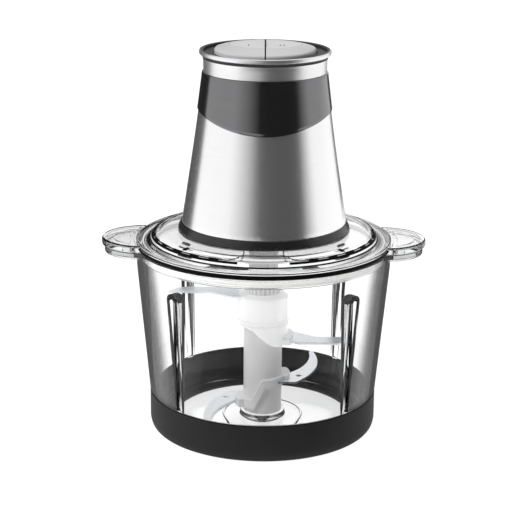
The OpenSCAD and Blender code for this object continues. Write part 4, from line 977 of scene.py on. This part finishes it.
# The two buttons: halves of one round key with a flat oval top, one bar on the left and two on the right
button = {
    "low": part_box("button_left")[0].z / mm,
    "top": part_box("button_left")[1].z / mm,
    "outR": 38.0,
    "topR": 25.0,
    "ovalX": 28.0,
    "ovalY": 22.0,
    "wall": 2.0,
    "gap": 1.0,
    "bars": {-1: (0,), 1: (-1.5, 1.5)},
    "barX": 12.5,
    "barHalf": 0.45,
    "barY": (-7.0, -1.0),
    "posts": [(18, -2, 3.8, 3.8), (20, 11.5, 2.4, 0.0)],    # x, y, radius and height over the skirt's end
}


def makeButtons(b):
    shoulder = b["top"] - 3.2

    def oval(angle, radius, height):
        reach = 1 / math.hypot(math.sin(angle) / b["ovalX"], math.cos(angle) / b["ovalY"])
        share = min(1, max(0, (height / mm - shoulder) / (b["top"] - 1 - shoulder)))
        return onAxis(angle, radius * (1 + share * (reach / b["topR"] - 1)), height)
    out, top, wall, half = b["outR"], b["top"], b["wall"], b["barHalf"]
    near, far = b["barY"]
    outline = [
        (0, top - wall - 0.9), (b["topR"] - 1, top - wall - 0.5, 1), (out - wall, shoulder - 1.8, 0.8),
        (out - wall, b["low"], 0.3), (out, b["low"], 0.3), (out, shoulder, 1.6),
        (b["topR"] + 0.5, top - 0.2, 1.2), (b["topR"] - 1.2, top, 0.8), (b["topR"] - 2.2, top - 0.35, 0.6),
        (0, top - 0.75),
    ]
    for side, word in ((-1, "left"), (1, "right")):
        piece = turned("button" + word.title(), outline, 3, 256, oval)
        cut, end = side * b["gap"] / 2, side * 60
        carve(piece, prism("half", [(cut, -60), (end, -60), (end, 60), (cut, 60)], 200, 400), "INTERSECT")
        for x, y, radius, rise in b["posts"]:
            carve(piece, disc("post", side * x, y, radius, b["low"] + rise, top - 2, 32), "UNION")
        bars = [side * b["barX"] + shift for shift in b["bars"][side]]
        for x in bars:
            bar = [(x - half, near), (x + half, near), (x + half, far), (x - half, far)]
            carve(piece, prism("bar", bar, top - 1.2, top - 0.3), "UNION")
        dress(piece, "buttonSilver", word + "_button", "button_" + word)
        piece.data.materials.append(finish["buttonFace"])
        piece.data.materials.append(finish["buttonMark"])
        for face in piece.data.polygons:
            x, y, z = [value / mm for value in face.center]
            if face.normal.z > 0.97 and z > top - 1.1:
                onBar = near - 0.1 < y < far + 0.1 and any(abs(x - bar) < half + 0.05 for bar in bars)
                face.material_index = 2 if onBar else 1


# Blade hub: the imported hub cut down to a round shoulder, with a rolled rim and a ribbed neck above
hub = {
    "body": "blades",
    "topZ": 107.4,
    "outR": 19.5,
    "neckR": 12.9,
    "rimZ": 84.2,
    "ribs": 24,
    "ribTop": 116.4,
    "ribShape": [(12.5, -0.05), (13.5, -0.04), (13.5, 0.04), (12.5, 0.05)],    # radius and radians
}


def makeHub(h):
    packed = nodes["blade_collar"]
    verts = [packed.matrix_world @ vert.co for vert in packed.data.vertices]
    piece = meshObject("milkyHub", verts, [tuple(face.vertices) for face in packed.data.polygons])
    high, out, neck, rimZ = h["topZ"], h["outR"], h["neckR"], h["rimZ"]
    carve(piece, disc("top", 0, 0, 30, high - 4, 130), "DIFFERENCE")
    carve(piece, turned("shoulder", [
        (neck, high - 2.2, 0.3), (out - 2.2, high - 4.6, 1), (out, high - 4.6), (out, high - 2.6, 2),
        (neck + 1.6, high, 1.2), (neck, high - 0.4, 0.3),
    ], 2), "UNION")
    carve(piece, turned("rim", [
        (out - 1, rimZ - 2), (out + 0.6, rimZ - 1.8, 0.6), (out + 0.7, rimZ - 0.4, 0.6),
        (out - 0.1, rimZ, 0.2), (out + 0.4, rimZ + 0.5, 0.5), (out + 0.3, rimZ + 1.8, 0.5),
        (out - 1, rimZ + 2),
    ], 1), "UNION")
    dress(piece, "milkyHub", h["body"], "blade_collar")
    flat = [(radius * math.cos(turn), radius * math.sin(turn)) for radius, turn in h["ribShape"]]
    turns = [360 * k / h["ribs"] for k in range(h["ribs"])]
    dress(repeated("neckRibs", prismPart(flat, high - 1, h["ribTop"]), turns), "collarPlastic", h["body"])


makeButtons(button)
makeSleeve(sleeve)
makeBand(band)
makeCollar(collar)
makeCover(cover)
makeHub(hub)
for name in ("deck_plate", "blade_tower", "bowl_spindle"):
    smooth(nodes[name], 28)
print("motor unit and hub made")


# Stage: pale floor, a studio world with one dark band, and dark cards and mats that only reflections see
studio = {
    "white": 1.0,
    "fill": 0.55,         # what matt surfaces get of it
    "floorColor": (0.3, 0.3, 0.3),
    "floorGlow": 0.95,
    "key": {"place": (-0.9, -0.7, 1.2), "aim": (0, 0, 0.1), "size": 0.5, "power": 11.0},
    "floorHalf": 4.0,
    "bands": [  # azimuth in degrees from the front, positive to the right, and the light there
        (-180, 1.0), (-52, 1.0), (-26, 0.5), (-8, 0.03), (56, 0.02), (80, 1.0), (180, 1.0),
    ],
    "overhead": (50, 62),    # degrees above the floor where the bands fade to white
    "cards": [  # upright sheets: two ends on the floor, top and light
        {"ends": (-0.52, 0.74, -0.27, 0.88), "high": 0.9, "light": 0.02},
        {"ends": (0.29, 0.86, 0.52, 0.74), "high": 0.9, "light": 0.02},
        {"ends": (-0.82, 0.38, -0.1, 0.9), "high": 0.9, "light": 0.03},
        {"ends": (-0.12, -1.7, 1.44, -0.9), "high": 1.3, "light": 0.03},
    ],
    "matZ": 0.0005,
    "mats": [  # sheets on the floor: light, and four corners
        (0.02, [(-0.03, -0.12), (0.1, -0.08), (1.44, -0.9), (-0.12, -1.7)]),
        (0.22, [(-0.03, -0.12), (-0.12, -1.7), (-0.62, -1.6), (-0.08, -0.11)]),
        (0.5, [(-0.08, -0.11), (-0.62, -1.6), (-1.2, -1.2), (-0.12, -0.1)]),
        (0.15, [(0.1, -0.08), (0.12, -0.06), (1.6, -0.6), (1.44, -0.9)]),
        (0.03, [(-0.14, 0.06), (-0.95, 0.5), (-0.3, 0.95), (-0.06, 0.12)]),
        (0.05, [(0.05, 0.12), (0.34, 0.92), (0.1, 0.95), (0.03, 0.13)]),
    ],
}


def makeWorld(s):
    world = bpy.data.worlds.new("studio")
    scene.world = world
    world.use_nodes = True
    tree = world.node_tree
    place = addNode(tree, "ShaderNodeTexCoord")
    split = addNode(tree, "ShaderNodeSeparateXYZ")
    tree.links.new(place.outputs["Generated"], split.inputs["Vector"])
    flip = addNode(tree, "ShaderNodeMath", operation="MULTIPLY")
    flip.inputs[1].default_value = -1
    tree.links.new(split.outputs["Y"], flip.inputs[0])
    around = addNode(tree, "ShaderNodeMath", operation="ARCTAN2")
    tree.links.new(split.outputs["X"], around.inputs[0])
    tree.links.new(flip.outputs[0], around.inputs[1])
    share = ranged(tree, around.outputs[0], -math.pi, math.pi, 0.0, 1.0)
    ramp = addNode(tree, "ShaderNodeValToRGB")
    stops = ramp.color_ramp.elements
    while len(stops) > 1:
        stops.remove(stops[0])
    for i, (azimuth, light) in enumerate(s["bands"]):
        where = (azimuth + 180) / 360
        stop = stops[0] if i == 0 else stops.new(where)
        stop.position = where
        stop.color = (light, light, light, 1)
    tree.links.new(share, ramp.inputs["Fac"])
    lift = addNode(tree, "ShaderNodeMapRange", interpolation_type="SMOOTHSTEP")
    start, end = s["overhead"]
    lift.inputs["From Min"].default_value = math.sin(math.radians(start))
    lift.inputs["From Max"].default_value = math.sin(math.radians(end))
    tree.links.new(split.outputs["Z"], lift.inputs["Value"])
    mix = addNode(tree, "ShaderNodeMix", data_type="RGBA")
    ends = [socket for socket in mix.inputs if socket.type == "RGBA"]
    tree.links.new(lift.outputs["Result"], mix.inputs["Factor"])
    tree.links.new(ramp.outputs["Color"], ends[0])
    ends[1].default_value = (1, 1, 1, 1)
    background = tree.nodes["Background"]
    tree.links.new(next(o for o in mix.outputs if o.type == "RGBA"), background.inputs["Color"])
    path = addNode(tree, "ShaderNodeLightPath")
    power = ranged(tree, path.outputs["Is Diffuse Ray"], 0.0, 1.0, s["white"], s["fill"])
    tree.links.new(power, background.inputs["Strength"])


def makeFloor(s):
    half = s["floorHalf"]
    corners = [(-half, -half, 0), (half, -half, 0), (half, half, 0), (-half, half, 0)]
    floor = meshObject("floor", corners, [(0, 1, 2, 3)])
    material, tree, shader = newMaterial("paleFloor")
    shader.inputs["Base Color"].default_value = (*s["floorColor"], 1)
    shader.inputs["Roughness"].default_value = 0.9
    shader.inputs["Specular IOR Level"].default_value = 0.0
    shader.inputs["Emission Color"].default_value = (1, 1, 1, 1)
    shader.inputs["Emission Strength"].default_value = s["floorGlow"]
    floor.data.materials.append(material)


def makeCards(s):
    sheets = []
    for info in s["cards"]:
        x1, y1, x2, y2 = info["ends"]
        high = info["high"]
        sheets.append((info["light"], [(x1, y1, 0), (x2, y2, 0), (x2, y2, high), (x1, y1, high)]))
    for light, corners in s["mats"]:
        sheets.append((light, [(x, y, s["matZ"]) for x, y in corners]))
    for i, (light, corners) in enumerate(sheets):
        material, tree, shader = newMaterial(f"card{i}")
        shader.inputs["Base Color"].default_value = (0.02, 0.02, 0.02, 1)
        shader.inputs["Emission Color"].default_value = (1, 1, 1, 1)
        shader.inputs["Emission Strength"].default_value = light
        shader.inputs["Roughness"].default_value = 1.0
        shader.inputs["Specular IOR Level"].default_value = 0.0
        card = meshObject(f"card{i}", corners, [(0, 1, 2, 3)])
        card.data.materials.append(material)
        card.visible_camera = False
        card.visible_shadow = False
        card.visible_diffuse = False
        card.visible_transmission = False


def makeKey(k):
    data = bpy.data.lights.new("keyLight", "AREA")
    data.size = k["size"]
    data.energy = k["power"]
    lamp = bpy.data.objects.new("keyLight", data)
    look = Vector(k["aim"]) - Vector(k["place"])
    lamp.matrix_world = Matrix.Translation(k["place"]) @ look.to_track_quat("-Z", "Y").to_matrix().to_4x4()
    lamp.visible_glossy = False
    lamp.visible_transmission = False
    scene.collection.objects.link(lamp)


makeWorld(studio)
makeKey(studio["key"])
makeFloor(studio)
makeCards(studio)
scene.view_settings.view_transform = "Standard"
print("stage set")
